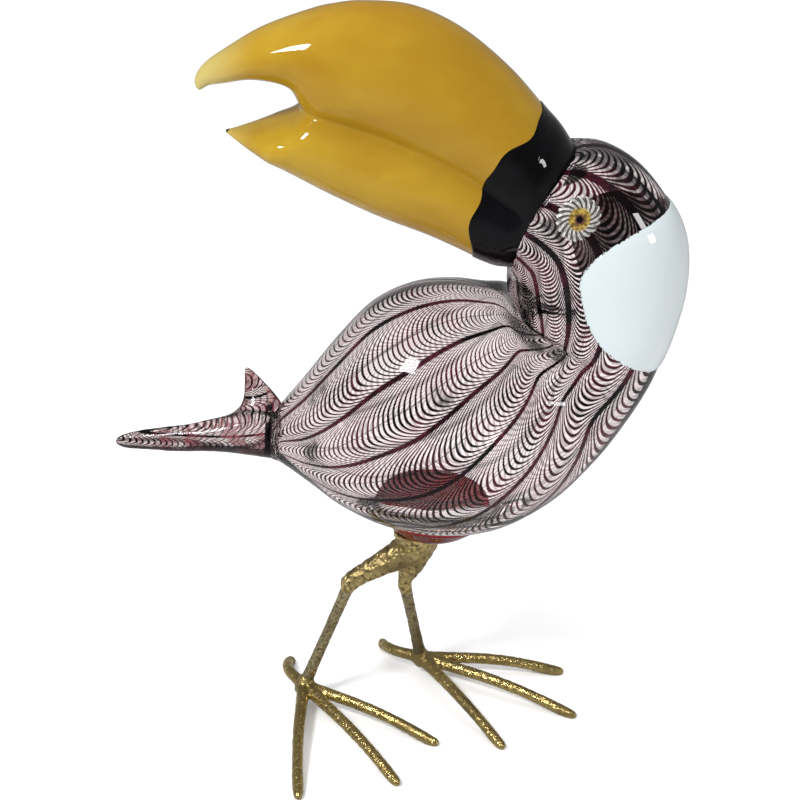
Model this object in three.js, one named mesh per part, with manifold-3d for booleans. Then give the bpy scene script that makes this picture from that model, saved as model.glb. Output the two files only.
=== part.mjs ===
// Blown-glass toucan with an open yellow beak, standing on a gilt cast-brass pair of legs.
//
// Millimetres, +Z up. The glass is symmetrical about the plane y = 0 and looks along -X; the legs
// face a quarter-left of the glass. The group is moved at the end so that its origin lies at the
// middle of the footprint of its box, on the ground.
//
// Every glass body is a run of rings. A ring is an ellipse that hangs between one point of the
// upper outline and one point of the lower outline, with a half width across the bird, and the
// outlines run smoothly from station to station.
import * as THREE from "three";
import { mergeVertices } from "three/addons/utils/BufferGeometryUtils.js";
import Module from "manifold-3d";

const wasm = await Module();
wasm.setup();

// ---- Driving dimensions (mm) ----------------------------------------------------------------
const gap = 0.3; // between any two pieces that touch

const glassHeight = 182; // belly to crown; the outlines below are drawn for drawnHeight
const drawnHeight = 182;
const bodyHalfWidth = 52; // across the bird at its widest
const backWall = 3.5; // wall of the bubble along the back, head and sides
const bellyWall = 16; // thick bottom of the bubble
const patchThickness = 1.6;

const beakReach = 137; // from the collar to the tip of the upper mandible
const beakHalfWidth = 28.5;

const eyeRadius = 9.6;
const irisRadius = 5.9;
const pupilRadius = 1.8;

const padRadius = 24.5;
const padDepth = 4.2; // from the lowest point of the belly to the underside of the pad
const seatRadius = 11; // top of the casting, and the flat under the pad

const standHeight = 92; // ground to the underside of the pad
const ankleHeight = 7.5;
const shankRadius = 2.7;
const kneeRadius = 4.4;
const kneeLength = 5.6; // knuckle, from its middle to the top of the shank
const stumpLength = 17; // from the seat to where the thighs part
const toeRadius = 2.7;
const palmHeight = 5; // top of the boss above the ankle
const toeHeight = 7.6; // middle of a toe where it leaves the ankle
const tipHeight = 1.4; // middle of a toe where it lies on the ground
const flatFrom = 0.93; // share of the toe's length from which it lies flat

// ---- Outlines, drawn with the pad's centre line at x = 0 and the lowest point of the belly at z = 0
// Each station: [x, z] on the back, [x, z] on the belly, half width as a share of bodyHalfWidth.
const bubbleStations = [
  { back: [-66, 54], belly: [-67, 33.5], width: 0.185 }, // root of the tail
  { back: [-61, 61], belly: [-62, 31.5], width: 0.26 },
  { back: [-51, 72.5], belly: [-50, 24], width: 0.48 },
  { back: [-37, 90], belly: [-35, 13.5], width: 0.73 },
  { back: [-22, 106], belly: [-15, 4], width: 0.9 },
  { back: [-5, 114.5], belly: [9, 0], width: 1 },
  { back: [12, 116.5], belly: [34, 3.5], width: 1 },
  { back: [27, 113], belly: [58, 18], width: 0.95 },
  { back: [35, 107], belly: [76, 37.5], width: 0.87 },
  { back: [39.5, 101], belly: [89, 56], width: 0.78 },
  { back: [40.5, 100.2], belly: [100, 76], width: 0.7 }, // crease under the beak
  { back: [40.5, 101.5], belly: [107, 98], width: 0.655 },
  { back: [38, 107], belly: [111, 119], width: 0.63 },
  { back: [36.5, 114], belly: [110, 139], width: 0.615 },
  { back: [35.5, 120], belly: [103, 155.5], width: 0.6 },
  { back: [35.5, 123.5], belly: [90.5, 171.5], width: 0.59 },
  { back: [35.5, 125.5], belly: [76, 180.5], width: 0.57 },
  { back: [36, 127], belly: [63, 181], width: 0.54 }, // open end, where the collar joins
];

// Each station of the beak: [x, z] on the culmen, [x, z] under the jaw, half width as a share.
const beakStations = [
  { back: [50.5, 195.5], belly: [22.5, 133], width: 0.98 },
  { back: [35.5, 213], belly: [2.5, 143], width: 1 },
  { back: [15.5, 230], belly: [-18.5, 151.5], width: 0.98 },
  { back: [-4.5, 239.5], belly: [-39, 161.5], width: 0.91 },
  { back: [-24.5, 241.5], belly: [-55.5, 170.5], width: 0.82 },
  { back: [-45.5, 238], belly: [-66.5, 177], width: 0.69 },
  { back: [-65, 231], belly: [-76, 183], width: 0.54 },
  { back: [-80, 222.5], belly: [-82, 187], width: 0.37 },
  { back: [-89, 216], belly: [-85, 191], width: 0.2 },
  { back: [-93.5, 209], belly: [-86, 193], width: 0.09 },
];
const mouthOutline = [
  [-110, 203], [-91, 206], [-86, 210], [-74, 214], [-60, 213], [-50.5, 207], [-47, 200],
  [-50, 193.5], [-60, 189], [-72, 187.3], [-82, 188], [-110, 188],
];

// Tail: centre, half height and half depth of each section.
const longProng = [
  { at: [-66.5, 0, 43.75], up: [0.5, 0, 10.25], across: 9.6 },
  { at: [-76, 0, 44], up: [0, 0, 8.4], across: 8.8 },
  { at: [-88, 0, 44], up: [0, 0, 6.8], across: 7.6 },
  { at: [-104, 0, 43], up: [0, 0, 6.2], across: 6 },
  { at: [-118, 0, 42.2], up: [0, 0, 5.2], across: 4.6 },
  { at: [-130, 0, 41.6], up: [0, 0, 3.8], across: 3 },
  { at: [-136.5, 0, 41.2], up: [0, 0, 1.4], across: 1.2 },
];
const shortProng = [
  { at: [-74, 0, 44], up: [11, 0, 0], across: 7 },
  { at: [-74, 4, 51.5], up: [11, 0, 1], across: 5 },
  { at: [-74.5, 9, 57.5], up: [7.5, 0, 0.5], across: 3.6 },
  { at: [-77, 14.5, 64], up: [3.2, 0, 1], across: 2.4 },
  { at: [-78, 18, 67.5], up: [1, 0, 0.3], across: 1 },
];

const eyeStation = 15.85; // place of the eyes along the head, in stations
const eyeAngle = 74; // degrees round the ring from the nape
const patchStation = 12.05;
const patchStations = 1.9; // half length of the white patch, in stations
const patchAngle = 103; // half of what it wraps round the neck, in degrees
const patchSweep = 0.8; // how far its two ends sweep up towards the head, in stations

// Legs, in plan from the pad's centre line. Each toe: heading in degrees from +X, anticlockwise,
// length from the ankle, and how far it would turn over its whole length.
const seatCentre = [-2, 0];
const padCentre = [4, 0];
const legs = {
  right: {
    knee: [-32.5, -4], kneeDrop: 25.5, ankle: [-55.4, -4.3],
    toes: { inner: [-29, 73, -5], middle: [-55, 80, -3], outer: [-92, 76, 10], hind: [122, 33, -80] },
  },
  left: {
    knee: [-8, 6], kneeDrop: 33, ankle: [0.1, 18.5],
    toes: { inner: [-60, 73, 4], middle: [-27, 82, -4], outer: [0, 69, -10], hind: [152, 32, -65] },
  },
};

// ---- Materials ------------------------------------------------------------------------------
const finish = (color, roughness, metalness, opacity = 1) =>
  new THREE.MeshStandardMaterial({ color, roughness, metalness, opacity, transparent: opacity < 1 });
const threadedGlass = finish(0x6b4650, 0.05, 0, 0.55);
const yellowGlass = finish(0xd69a1c, 0.06, 0);
const blackGlass = finish(0x050505, 0.04, 0);
const whiteGlass = finish(0xe8edf2, 0.06, 0);
const crystalGlass = finish(0xdcd6cc, 0.08, 0);
const amberGlass = finish(0xb8902a, 0.08, 0);
const redGlass = finish(0x6e0f16, 0.05, 0, 0.85);
const gildedBrass = finish(0xa98a45, 0.35, 1);

// ---- Geometry helpers -----------------------------------------------------------------------
const glassScale = glassHeight / drawnHeight;
const bellyHeight = standHeight + padDepth;
const radians = THREE.MathUtils.degToRad;

// A drawn outline point as a point of the symmetry plane, in millimetres above the ground.
const onPlane = ([x, z]) => new THREE.Vector3(x * glassScale, 0, bellyHeight + z * glassScale);

function signedVolume(positions, index) {
  const [a, b, c] = [new THREE.Vector3(), new THREE.Vector3(), new THREE.Vector3()];
  let volume = 0;
  for (let i = 0; i < index.length; i += 3) {
    a.fromArray(positions, 3 * index[i]);
    b.fromArray(positions, 3 * index[i + 1]);
    c.fromArray(positions, 3 * index[i + 2]);
    volume += a.dot(b.cross(c)) / 6;
  }
  return volume;
}

// Closed solid through rows of points: neighbouring rows are joined, both ends get a flat fan.
function solidFromRows(rows) {
  const count = rows[0].length;
  const points = rows.flat();
  const index = [];
  for (let row = 0; row + 1 < rows.length; row++) {
    for (let i = 0; i < count; i++) {
      const next = (i + 1) % count;
      const [a, b] = [row * count + i, row * count + next];
      index.push(a, b, b + count, a, b + count, a + count);
    }
  }
  for (const [row, flip] of [[0, true], [rows.length - 1, false]]) {
    const centre = rows[row].reduce((sum, p) => sum.add(p), new THREE.Vector3()).divideScalar(count);
    points.push(centre);
    for (let i = 0; i < count; i++) {
      const [a, b] = [row * count + i, row * count + ((i + 1) % count)];
      index.push(...(flip ? [points.length - 1, b, a] : [points.length - 1, a, b]));
    }
  }
  const positions = points.flatMap((p) => [p.x, p.y, p.z]);
  if (signedVolume(positions, index) < 0) index.reverse();
  const geometry = new THREE.BufferGeometry();
  geometry.setAttribute("position", new THREE.Float32BufferAttribute(positions, 3));
  geometry.setIndex(index);
  return geometry;
}

// Manifold needs shared vertices and positions only.
function toManifold(geometry) {
  const bare = geometry.clone();
  bare.deleteAttribute("normal");
  bare.deleteAttribute("uv");
  const merged = mergeVertices(bare, 1e-4);
  return new wasm.Manifold(new wasm.Mesh({
    numProp: 3,
    vertProperties: new Float32Array(merged.attributes.position.array),
    triVerts: new Uint32Array(merged.index.array),
  }));
}

function toGeometry(manifold) {
  const mesh = manifold.getMesh();
  const geometry = new THREE.BufferGeometry();
  geometry.setAttribute("position", new THREE.Float32BufferAttribute(mesh.vertProperties, 3));
  geometry.setIndex(Array.from(mesh.triVerts));
  return geometry;
}

// Smooth surface through ring stations. point(station, angle) has angle 0 on the belly outline and
// half a turn on the back outline; thin(station, angle) moves the ring in by that much.
class RingSurface {
  constructor(stations, halfWidth, place) {
    const smooth = (points) => new THREE.CatmullRomCurve3(points, false, "catmullrom", 0.5);
    this.last = stations.length - 1;
    this.back = smooth(stations.map((s) => place(s.back)));
    this.belly = smooth(stations.map((s) => place(s.belly)));
    this.width = smooth(stations.map((s) => new THREE.Vector3(0, s.width * halfWidth, 0)));
  }

  ring(station) {
    const t = THREE.MathUtils.clamp(station / this.last, 0, 1);
    const back = this.back.getPoint(t);
    const belly = this.belly.getPoint(t);
    return { back, belly, width: this.width.getPoint(t).y };
  }

  // The ring's ellipse with its wall taken off: backInset at the back and the sides, bellyInset below.
  point(station, angle, backInset = 0, bellyInset = backInset) {
    const { back, belly, width } = this.ring(station);
    const half = belly.clone().sub(back).multiplyScalar(0.5);
    const reach = half.length();
    const along = half.clone().divideScalar(reach);
    const centre = back.clone().add(belly).multiplyScalar(0.5);
    centre.addScaledVector(along, (backInset - bellyInset) / 2);
    const inPlane = reach - (backInset + bellyInset) / 2;
    const p = centre.addScaledVector(along, inPlane * Math.cos(angle));
    p.y += (width - backInset) * Math.sin(angle);
    return p;
  }

  // Unit normal, pointing out of the body, from two short steps along the surface.
  normal(station, angle) {
    const step = 0.02;
    const alongBody = this.point(station + step, angle).sub(this.point(station - step, angle));
    const roundRing = this.point(station, angle + step).sub(this.point(station, angle - step));
    const normal = alongBody.cross(roundRing).normalize();
    const { back, belly } = this.ring(station);
    const outward = this.point(station, angle).sub(back.add(belly).multiplyScalar(0.5));
    return normal.dot(outward) < 0 ? normal.negate() : normal;
  }
}

const ringAngles = (segments) => Array.from({ length: segments }, (_, i) => (i / segments) * 2 * Math.PI);
const steps = (from, to, count) => Array.from(
  { length: count + 1 }, (_, i) => from + ((to - from) * i) / count,
);

// Round bar along a smooth path, with a radius at each of its points.
function bar(path, radii, segments, samples) {
  const curve = new THREE.CatmullRomCurve3(
    path.map((p) => new THREE.Vector3(...p)), false, "catmullrom", 0.5,
  );
  const radiusCurve = new THREE.CatmullRomCurve3(
    radii.map((r) => new THREE.Vector3(r, 0, 0)), false, "catmullrom", 0.5,
  );
  const frames = curve.computeFrenetFrames(samples, false);
  const rows = steps(0, 1, samples).map((t, k) => {
    const centre = curve.getPointAt(t);
    const radius = radiusCurve.getPoint(t).x;
    return ringAngles(segments).map((angle) => centre.clone()
      .addScaledVector(frames.normals[k], radius * Math.cos(angle))
      .addScaledVector(frames.binormals[k], radius * Math.sin(angle)));
  });
  return solidFromRows(rows);
}

// ---- Glass ----------------------------------------------------------------------------------
const bubble = new RingSurface(bubbleStations, bodyHalfWidth, onPlane);
const bubbleSegments = 28;
const bubbleRings = 27;

// Wall under the belly grows from backWall to bellyWall over the stations above the pad.
function bellyInset(station) {
  const falling = THREE.MathUtils.smoothstep(station, 5.4, 7);
  const rise = THREE.MathUtils.smoothstep(station, 3, 4.6) * (1 - falling);
  return THREE.MathUtils.lerp(backWall, bellyWall, rise);
}

// Rings of the bubble's outside, moved out by grow.
const outerRings = (grow = 0) => steps(0, bubble.last, bubbleRings).map((station) =>
  ringAngles(bubbleSegments).map((angle) => bubble.point(station, angle, -grow)));

function glassBubble() {
  const inner = steps(bubble.last, 0.6, bubbleRings - 3).map((station) =>
    ringAngles(bubbleSegments).map((angle) => bubble.point(station, angle, backWall, bellyInset(station))));
  return solidFromRows([...outerRings(), ...inner]);
}

// Beak outlines follow beakReach along the beak; its thickness stays as drawn.
const collarTop = onPlane(beakStations[0].back);
const collarBottom = onPlane(beakStations[0].belly);
const collarCentre = collarTop.clone().add(collarBottom).multiplyScalar(0.5);
const collarUp = collarTop.clone().sub(collarBottom).normalize();
const beakForward = new THREE.Vector3(-collarUp.z, 0, collarUp.x);
const reachOf = (point) => onPlane(point).sub(collarCentre).dot(beakForward);
const drawnReach = Math.max(...beakStations.map((s) => reachOf(s.back)));

function onBeak(point) {
  const drawn = onPlane(point);
  return drawn.addScaledVector(beakForward, reachOf(point) * (beakReach / drawnReach - 1));
}

function beak() {
  const surface = new RingSurface(beakStations, beakHalfWidth, onBeak);
  const rows = steps(0, surface.last, 20).map((station) =>
    ringAngles(24).map((angle) => surface.point(station, angle)));
  const outline = mouthOutline.map((p) => onBeak(p)).map((p) => new THREE.Vector2(p.x, p.z));
  const width = 4 * beakHalfWidth;
  const mouth = new THREE.ExtrudeGeometry(new THREE.Shape(outline), { depth: width, bevelEnabled: false });
  mouth.rotateX(Math.PI / 2).translate(0, width / 2, 0);
  return toGeometry(toManifold(solidFromRows(rows)).subtract(toManifold(mouth)));
}

// Collar: from the open end of the bubble to the back of the beak, a little full in the middle.
function beakCollar() {
  const head = bubble.ring(bubble.last);
  const base = { back: collarTop, belly: collarBottom, width: beakStations[0].width * beakHalfWidth };
  const fullness = [0, 0.7, 1, 0.7, 0];
  const headCentre = head.back.clone().add(head.belly).multiplyScalar(0.5);
  const headNormal = head.belly.clone().sub(head.back).normalize();
  const awayFromHead = new THREE.Vector3(-headNormal.z, 0, headNormal.x);
  if (awayFromHead.dot(collarCentre.clone().sub(headCentre)) < 0) awayFromHead.negate();
  const rows = steps(0, 1, 4).map((t, k) => ringAngles(bubbleSegments).map((angle) => {
    const lerp = (a, b) => a.clone().lerp(b, t);
    const top = lerp(head.belly, base.back);
    const bottom = lerp(head.back, base.belly);
    const width = THREE.MathUtils.lerp(head.width, base.width, t) + fullness[k];
    const half = top.clone().sub(bottom).multiplyScalar(0.5);
    const p = top.add(bottom).multiplyScalar(0.5);
    p.addScaledVector(half, Math.cos(angle) * (1 + fullness[k] / half.length()));
    p.y += width * Math.sin(angle);
    if (k === 0) p.addScaledVector(awayFromHead, gap);
    if (k === 4) p.addScaledVector(beakForward, -gap);
    return p;
  }));
  return solidFromRows(rows);
}

// Tail: two drawn-out prongs melted into one root, cut flat where it joins the bubble.
function tailFork() {
  const rowsOf = (sections, segments) => {
    const centres = new THREE.CatmullRomCurve3(sections.map((s) => {
      const p = onPlane([s.at[0], s.at[2]]);
      p.y = s.at[1] * glassScale;
      return p;
    }), false, "catmullrom", 0.5);
    const ups = new THREE.CatmullRomCurve3(
      sections.map((s) => new THREE.Vector3(...s.up).multiplyScalar(glassScale)), false, "catmullrom", 0.5,
    );
    const depths = new THREE.CatmullRomCurve3(
      sections.map((s) => new THREE.Vector3(s.across * glassScale, 0, 0)), false, "catmullrom", 0.5,
    );
    return steps(0, 1, 2 * (sections.length - 1)).map((t) => ringAngles(segments).map((angle) => {
      const p = centres.getPoint(t).addScaledVector(ups.getPoint(t), Math.cos(angle));
      p.y += depths.getPoint(t).x * Math.sin(angle);
      return p;
    }));
  };
  const joined = toManifold(solidFromRows(rowsOf(longProng, 20)))
    .add(toManifold(solidFromRows(rowsOf(shortProng, 16))));
  // Box whose near face is the bubble's flat tail end, moved out by the gap.
  const root = bubble.ring(0);
  const up = root.back.clone().sub(root.belly).normalize();
  const size = 60;
  const box = new THREE.BoxGeometry(size, size, size);
  box.translate(size / 2 - gap, 0, 0).rotateY(Math.atan2(up.x, up.z));
  const centre = root.back.clone().add(root.belly).multiplyScalar(0.5);
  box.translate(centre.x, centre.y, centre.z);
  return toGeometry(joined.subtract(toManifold(box)));
}

// Piece that lies on the bubble: a polar grid round (station, angle), its skin raised from the
// surface by lift(share, turn) outside and by the clearance inside.
function laidOn(place, clearance, lift, shares, segments) {
  const raise = (height) => (share) => ringAngles(segments).map((turn) => {
    const [station, angle] = place(share, turn);
    const base = bubble.point(station, angle);
    return base.addScaledVector(bubble.normal(station, angle), height(share, turn));
  });
  const top = shares.map(raise(lift));
  const under = [...shares].reverse().map(raise(() => clearance));
  return solidFromRows([...top, ...under]);
}

function napePatch() {
  const place = (share, turn) => {
    const wrap = share * Math.cos(turn);
    return [
      patchStation + patchStations * share * Math.sin(turn) + patchSweep * wrap * wrap,
      radians(patchAngle) * wrap,
    ];
  };
  const lift = (share) => 2 * gap + (patchThickness - gap) * Math.sqrt(1 - Math.min(share, 0.97) ** 2);
  return laidOn(place, 2 * gap, lift, [0.08, 0.22, 0.36, 0.5, 0.64, 0.78, 0.9, 1], 36);
}

// Round disc of the eye: steps on the surface are turned into millimetres by the local scale.
function eyeDisc(side, radius, clearance, thickness, segments) {
  const step = 0.05;
  const angle = side * radians(eyeAngle);
  const here = bubble.point(eyeStation, angle);
  const perStation = bubble.point(eyeStation + step, angle).distanceTo(here) / step;
  const alongBody = bubble.point(eyeStation + step, angle).sub(here).normalize();
  const roundRing = bubble.point(eyeStation, angle + step).sub(here);
  const perRadian = roundRing.length() / step;
  const skew = roundRing.normalize().dot(alongBody);
  const square = Math.sqrt(1 - skew * skew);
  const place = (share, turn) => {
    const across = (radius * share * Math.sin(turn)) / square;
    const along = radius * share * Math.cos(turn) - across * skew;
    return [eyeStation + along / perStation, angle + across / perRadian];
  };
  const lift = (share) => clearance + thickness * (0.45 + 0.55 * Math.sqrt(1 - 0.98 * share * share));
  return laidOn(place, clearance, lift, [0.45, 0.8, 1], segments);
}

// Red lens under the belly, hollowed by the bubble's own surface.
function footPad() {
  const rim = bellyHeight + 7;
  const profile = [
    [0, standHeight], [seatRadius + 1.5, standHeight], [padRadius - 5, standHeight + 3.4],
    [padRadius - 1.2, standHeight + 6.2], [padRadius, standHeight + 8], [padRadius - 0.5, rim + 6],
    [0, rim + 6],
  ].map(([r, z]) => new THREE.Vector2(r, z));
  const lens = new THREE.LatheGeometry(profile, 28).rotateX(Math.PI / 2);
  lens.translate(padCentre[0], padCentre[1], 0);
  return toGeometry(toManifold(lens).subtract(toManifold(solidFromRows(outerRings(gap)))));
}

// ---- Brass legs -----------------------------------------------------------------------------
const seatTop = standHeight - gap;
const kneeOf = (leg) => new THREE.Vector3(leg.knee[0], leg.knee[1], standHeight - leg.kneeDrop);
const ankleOf = (leg) => new THREE.Vector3(leg.ankle[0], leg.ankle[1], ankleHeight);
const shankDirection = (leg) => ankleOf(leg).sub(kneeOf(leg)).normalize();
const along = (point, direction, distance) => point.clone().addScaledVector(direction, distance).toArray();

// One casting: a stump under the pad that parts into two thighs, each ending in a knuckle.
function thighCasting() {
  const [x, y] = seatCentre;
  const stump = bar(
    [[x, y, seatTop], [x, y, seatTop - stumpLength / 2], [x - 2, y, seatTop - stumpLength]],
    [seatRadius, seatRadius - 2.2, kneeRadius], 20, 5,
  );
  const thighs = Object.values(legs).map((leg) => {
    const knee = kneeOf(leg);
    const hip = new THREE.Vector3(x, y, seatTop - stumpLength / 2);
    const path = [
      hip.toArray(), hip.clone().lerp(knee, 0.55).toArray(), knee.toArray(),
      along(knee, shankDirection(leg), kneeLength),
    ];
    return bar(path, [seatRadius - 3.2, kneeRadius + 2.2, kneeRadius + 0.4, shankRadius], 16, 9);
  });
  return toGeometry(thighs.reduce((sum, thigh) => sum.add(toManifold(thigh)), toManifold(stump)));
}

function shank(leg) {
  const direction = shankDirection(leg);
  const top = along(kneeOf(leg), direction, kneeLength + gap);
  const foot = along(ankleOf(leg), direction, -palmHeight);
  const middle = new THREE.Vector3(...top).lerp(new THREE.Vector3(...foot), 0.5).toArray();
  return bar([top, middle, foot], [shankRadius, shankRadius, shankRadius + 0.3], 12, 5);
}

// The toes part where two neighbours have spread one toe's width.
function palmLength(leg) {
  const headings = Object.values(leg.toes).map(([heading]) => heading).sort((a, b) => a - b);
  const spreads = headings.slice(1).map((heading, i) => heading - headings[i]);
  return toeRadius / Math.sin(radians(Math.min(...spreads) / 2));
}

// Centre line of a toe from the end of the palm: a low arch that comes down to the ground at its tip.
function toePath(leg, [heading, length, curl]) {
  const ankle = ankleOf(leg);
  const from = palmLength(leg) / length;
  const shares = [from, ...[0.35, 0.6, 0.8, flatFrom, 1].filter((share) => share > from + 0.12)];
  const heights = (share) => {
    const fall = Math.min(1, share / flatFrom) ** 1.7;
    return tipHeight + (toeHeight - tipHeight) * Math.cos((Math.PI / 2) * fall);
  };
  let [x, y] = [ankle.x, ankle.y];
  let walked = 0;
  return shares.map((share) => {
    const angle = radians(heading + curl * Math.max(0, share - 0.35));
    x += (share * length - walked) * Math.cos(angle);
    y += (share * length - walked) * Math.sin(angle);
    walked = share * length;
    return [x, y, heights(share)];
  });
}

const belowGround = () => toManifold(new THREE.BoxGeometry(400, 400, 20).translate(0, 0, -10));

function toe(leg, name) {
  const path = toePath(leg, leg.toes[name]);
  const [first, second] = path.map((p) => new THREE.Vector3(...p));
  path[0] = along(first, second.sub(first).normalize(), gap);
  const radii = path.map((_, i) => toeRadius - (0.9 * i) / (path.length - 1));
  return toGeometry(toManifold(bar(path, radii, 10, 9)).subtract(belowGround()));
}

// Palm: the ends of the four toes run together round the ankle, with a boss for the shank.
function footHub(leg) {
  const ankle = ankleOf(leg);
  const direction = shankDirection(leg);
  const boss = bar(
    [along(ankle, direction, 3.2), along(ankle, direction, -1), along(ankle, direction, -(palmHeight - gap))],
    [toeRadius + 1.6, toeRadius + 1.5, shankRadius + 0.5], 12, 4,
  );
  const stubs = Object.values(leg.toes).map((toeShape) => {
    const [end, second] = toePath(leg, toeShape).map((p) => new THREE.Vector3(...p));
    const start = [ankle.x, ankle.y, end.z];
    const direction = second.sub(end).normalize();
    const waist = along(end, direction, -palmLength(leg) / 3);
    return bar([start, waist, end.toArray()], [3.2, 2.9, toeRadius], 10, 3);
  });
  const joined = stubs.reduce((sum, stub) => sum.add(toManifold(stub)), toManifold(boss));
  return toGeometry(joined.subtract(belowGround()));
}

// ---- Assembly -------------------------------------------------------------------------------
const group = new THREE.Group();
function add(name, geometry, material) {
  const mesh = new THREE.Mesh(geometry, material);
  mesh.name = name;
  group.add(mesh);
}

add("glass_bubble", glassBubble(), threadedGlass);
add("tail_fork", tailFork(), threadedGlass);
add("beak", beak(), yellowGlass);
add("beak_collar", beakCollar(), blackGlass);
add("nape_patch", napePatch(), whiteGlass);
add("foot_pad", footPad(), redGlass);

const rosetteThickness = 1.9;
const irisThickness = 0.8;
for (const [side, sign] of [["left", -1], ["right", 1]]) {
  const onRosette = gap + rosetteThickness + gap;
  const onIris = onRosette + irisThickness + gap;
  add(`${side}_eye_rosette`, eyeDisc(sign, eyeRadius, gap, rosetteThickness, 24), crystalGlass);
  add(`${side}_eye_iris`, eyeDisc(sign, irisRadius, onRosette, irisThickness, 18), amberGlass);
  add(`${side}_eye_pupil`, eyeDisc(sign, pupilRadius, onIris, irisThickness, 10), blackGlass);
}

add("thigh_casting", thighCasting(), gildedBrass);
for (const [side, leg] of Object.entries(legs)) {
  add(`${side}_shank`, shank(leg), gildedBrass);
  add(`${side}_foot_hub`, footHub(leg), gildedBrass);
  for (const name of Object.keys(leg.toes)) {
    const label = name === "hind" ? "hind_toe" : `${name}_front_toe`;
    add(`${side}_${label}`, toe(leg, name), gildedBrass);
  }
}

const box = new THREE.Box3().setFromObject(group);
const middle = box.getCenter(new THREE.Vector3());
group.position.set(-middle.x, -middle.y, -box.min.z);

export default group;
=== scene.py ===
# Threaded-glass toucan on gilt brass legs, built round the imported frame. Lengths are metres in the
# frame, and millimetres in the piece dictionaries, which mm() turns into metres.
import math

import bpy
import numpy as np
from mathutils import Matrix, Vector


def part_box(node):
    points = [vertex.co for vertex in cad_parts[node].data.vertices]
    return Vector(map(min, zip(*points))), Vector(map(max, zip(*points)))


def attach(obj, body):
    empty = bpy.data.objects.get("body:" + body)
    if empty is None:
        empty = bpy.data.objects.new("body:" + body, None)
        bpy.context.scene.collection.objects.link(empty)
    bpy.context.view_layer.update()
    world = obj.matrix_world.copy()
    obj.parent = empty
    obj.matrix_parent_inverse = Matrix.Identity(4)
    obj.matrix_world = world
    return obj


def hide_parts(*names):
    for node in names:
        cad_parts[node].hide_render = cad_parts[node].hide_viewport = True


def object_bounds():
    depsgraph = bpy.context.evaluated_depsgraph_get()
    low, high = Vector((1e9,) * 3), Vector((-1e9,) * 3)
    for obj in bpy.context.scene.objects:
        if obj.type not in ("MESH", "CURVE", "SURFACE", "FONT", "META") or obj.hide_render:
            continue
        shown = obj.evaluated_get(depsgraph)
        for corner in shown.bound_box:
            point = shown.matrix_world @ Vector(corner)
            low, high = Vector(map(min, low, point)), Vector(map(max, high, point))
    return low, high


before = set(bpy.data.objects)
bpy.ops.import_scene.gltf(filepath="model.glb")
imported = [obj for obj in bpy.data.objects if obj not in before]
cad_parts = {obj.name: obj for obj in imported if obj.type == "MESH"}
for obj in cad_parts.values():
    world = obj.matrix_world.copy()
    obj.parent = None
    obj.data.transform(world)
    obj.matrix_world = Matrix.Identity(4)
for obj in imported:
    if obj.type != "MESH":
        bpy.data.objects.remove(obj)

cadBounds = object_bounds()
rootBody = "root"


def mm(value):
    return np.asarray(value, float) * 0.001


# The drawn outlines have x = 0 on the pad's centre line and z = 0 at the lowest point of the belly.
# The bubble's own box says where that is: its tail end is drawn at x = -67.
bubbleLow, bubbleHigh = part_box("glass_bubble")
glassOrigin = np.array([bubbleLow.x + 0.067, (bubbleLow.y + bubbleHigh.y) / 2, bubbleLow.z])


# Drawn point (x, z) in mm, with y across the bird, as a point of the frame.
def onGlass(x, z, y=0.0):
    x, z, y = np.broadcast_arrays(x, z, y)
    return np.stack([mm(x), mm(y), mm(z)], -1) + glassOrigin


# Smooth line through points: between two of them a cubic whose slope at each is half the step from
# the point before to the point after. t counts points, and may be an array.
def smoothLine(points, t):
    p = np.asarray(points, float)
    if p.ndim == 1:
        p = p[:, None]
    p = np.vstack([2 * p[0] - p[1], p, 2 * p[-1] - p[-2]])
    t = np.asarray(t, float)
    i = np.clip(np.floor(t).astype(int), 0, len(p) - 4)
    f = (t - i)[..., None]
    a, b, c, d = p[i], p[i + 1], p[i + 2], p[i + 3]
    upToSquare = 2 * b + (c - a) * f + (2 * a - 5 * b + 4 * c - d) * f**2
    return 0.5 * (upToSquare + (3 * b - a - 3 * c + d) * f**3)


# 0 below low, 1 above high, and x * x * (3 - 2 * x) between, where x is the share of the way.
def smoothStep(value, low, high):
    x = np.clip((value - low) / (high - low), 0, 1)
    return x * x * (3 - 2 * x)


# Soft hump: 1 at the centre, falling as exp(-(distance / width) squared).
def hump(value, centre, width):
    return np.exp(-(((value - centre) / width) ** 2))


# Wavering value: three sines of the two parameters, with fixed phases, between about -1 and 1.
def waver(a, b, seed=0.0):
    return (np.sin(a * 1.0 + b * 1.7 + seed) + np.sin(a * 2.3 - b * 1.1 + 2 * seed + 1)
            + np.sin(a * 3.7 + b * 2.9 + 3 * seed + 2)) / 3


# Corner coordinates of a fan: each triangle's two outer corners, and the middle between them.
def fanUv(near, far):
    return np.stack([near, far, (near + far) / 2], 1).reshape(-1, 2)


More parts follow.
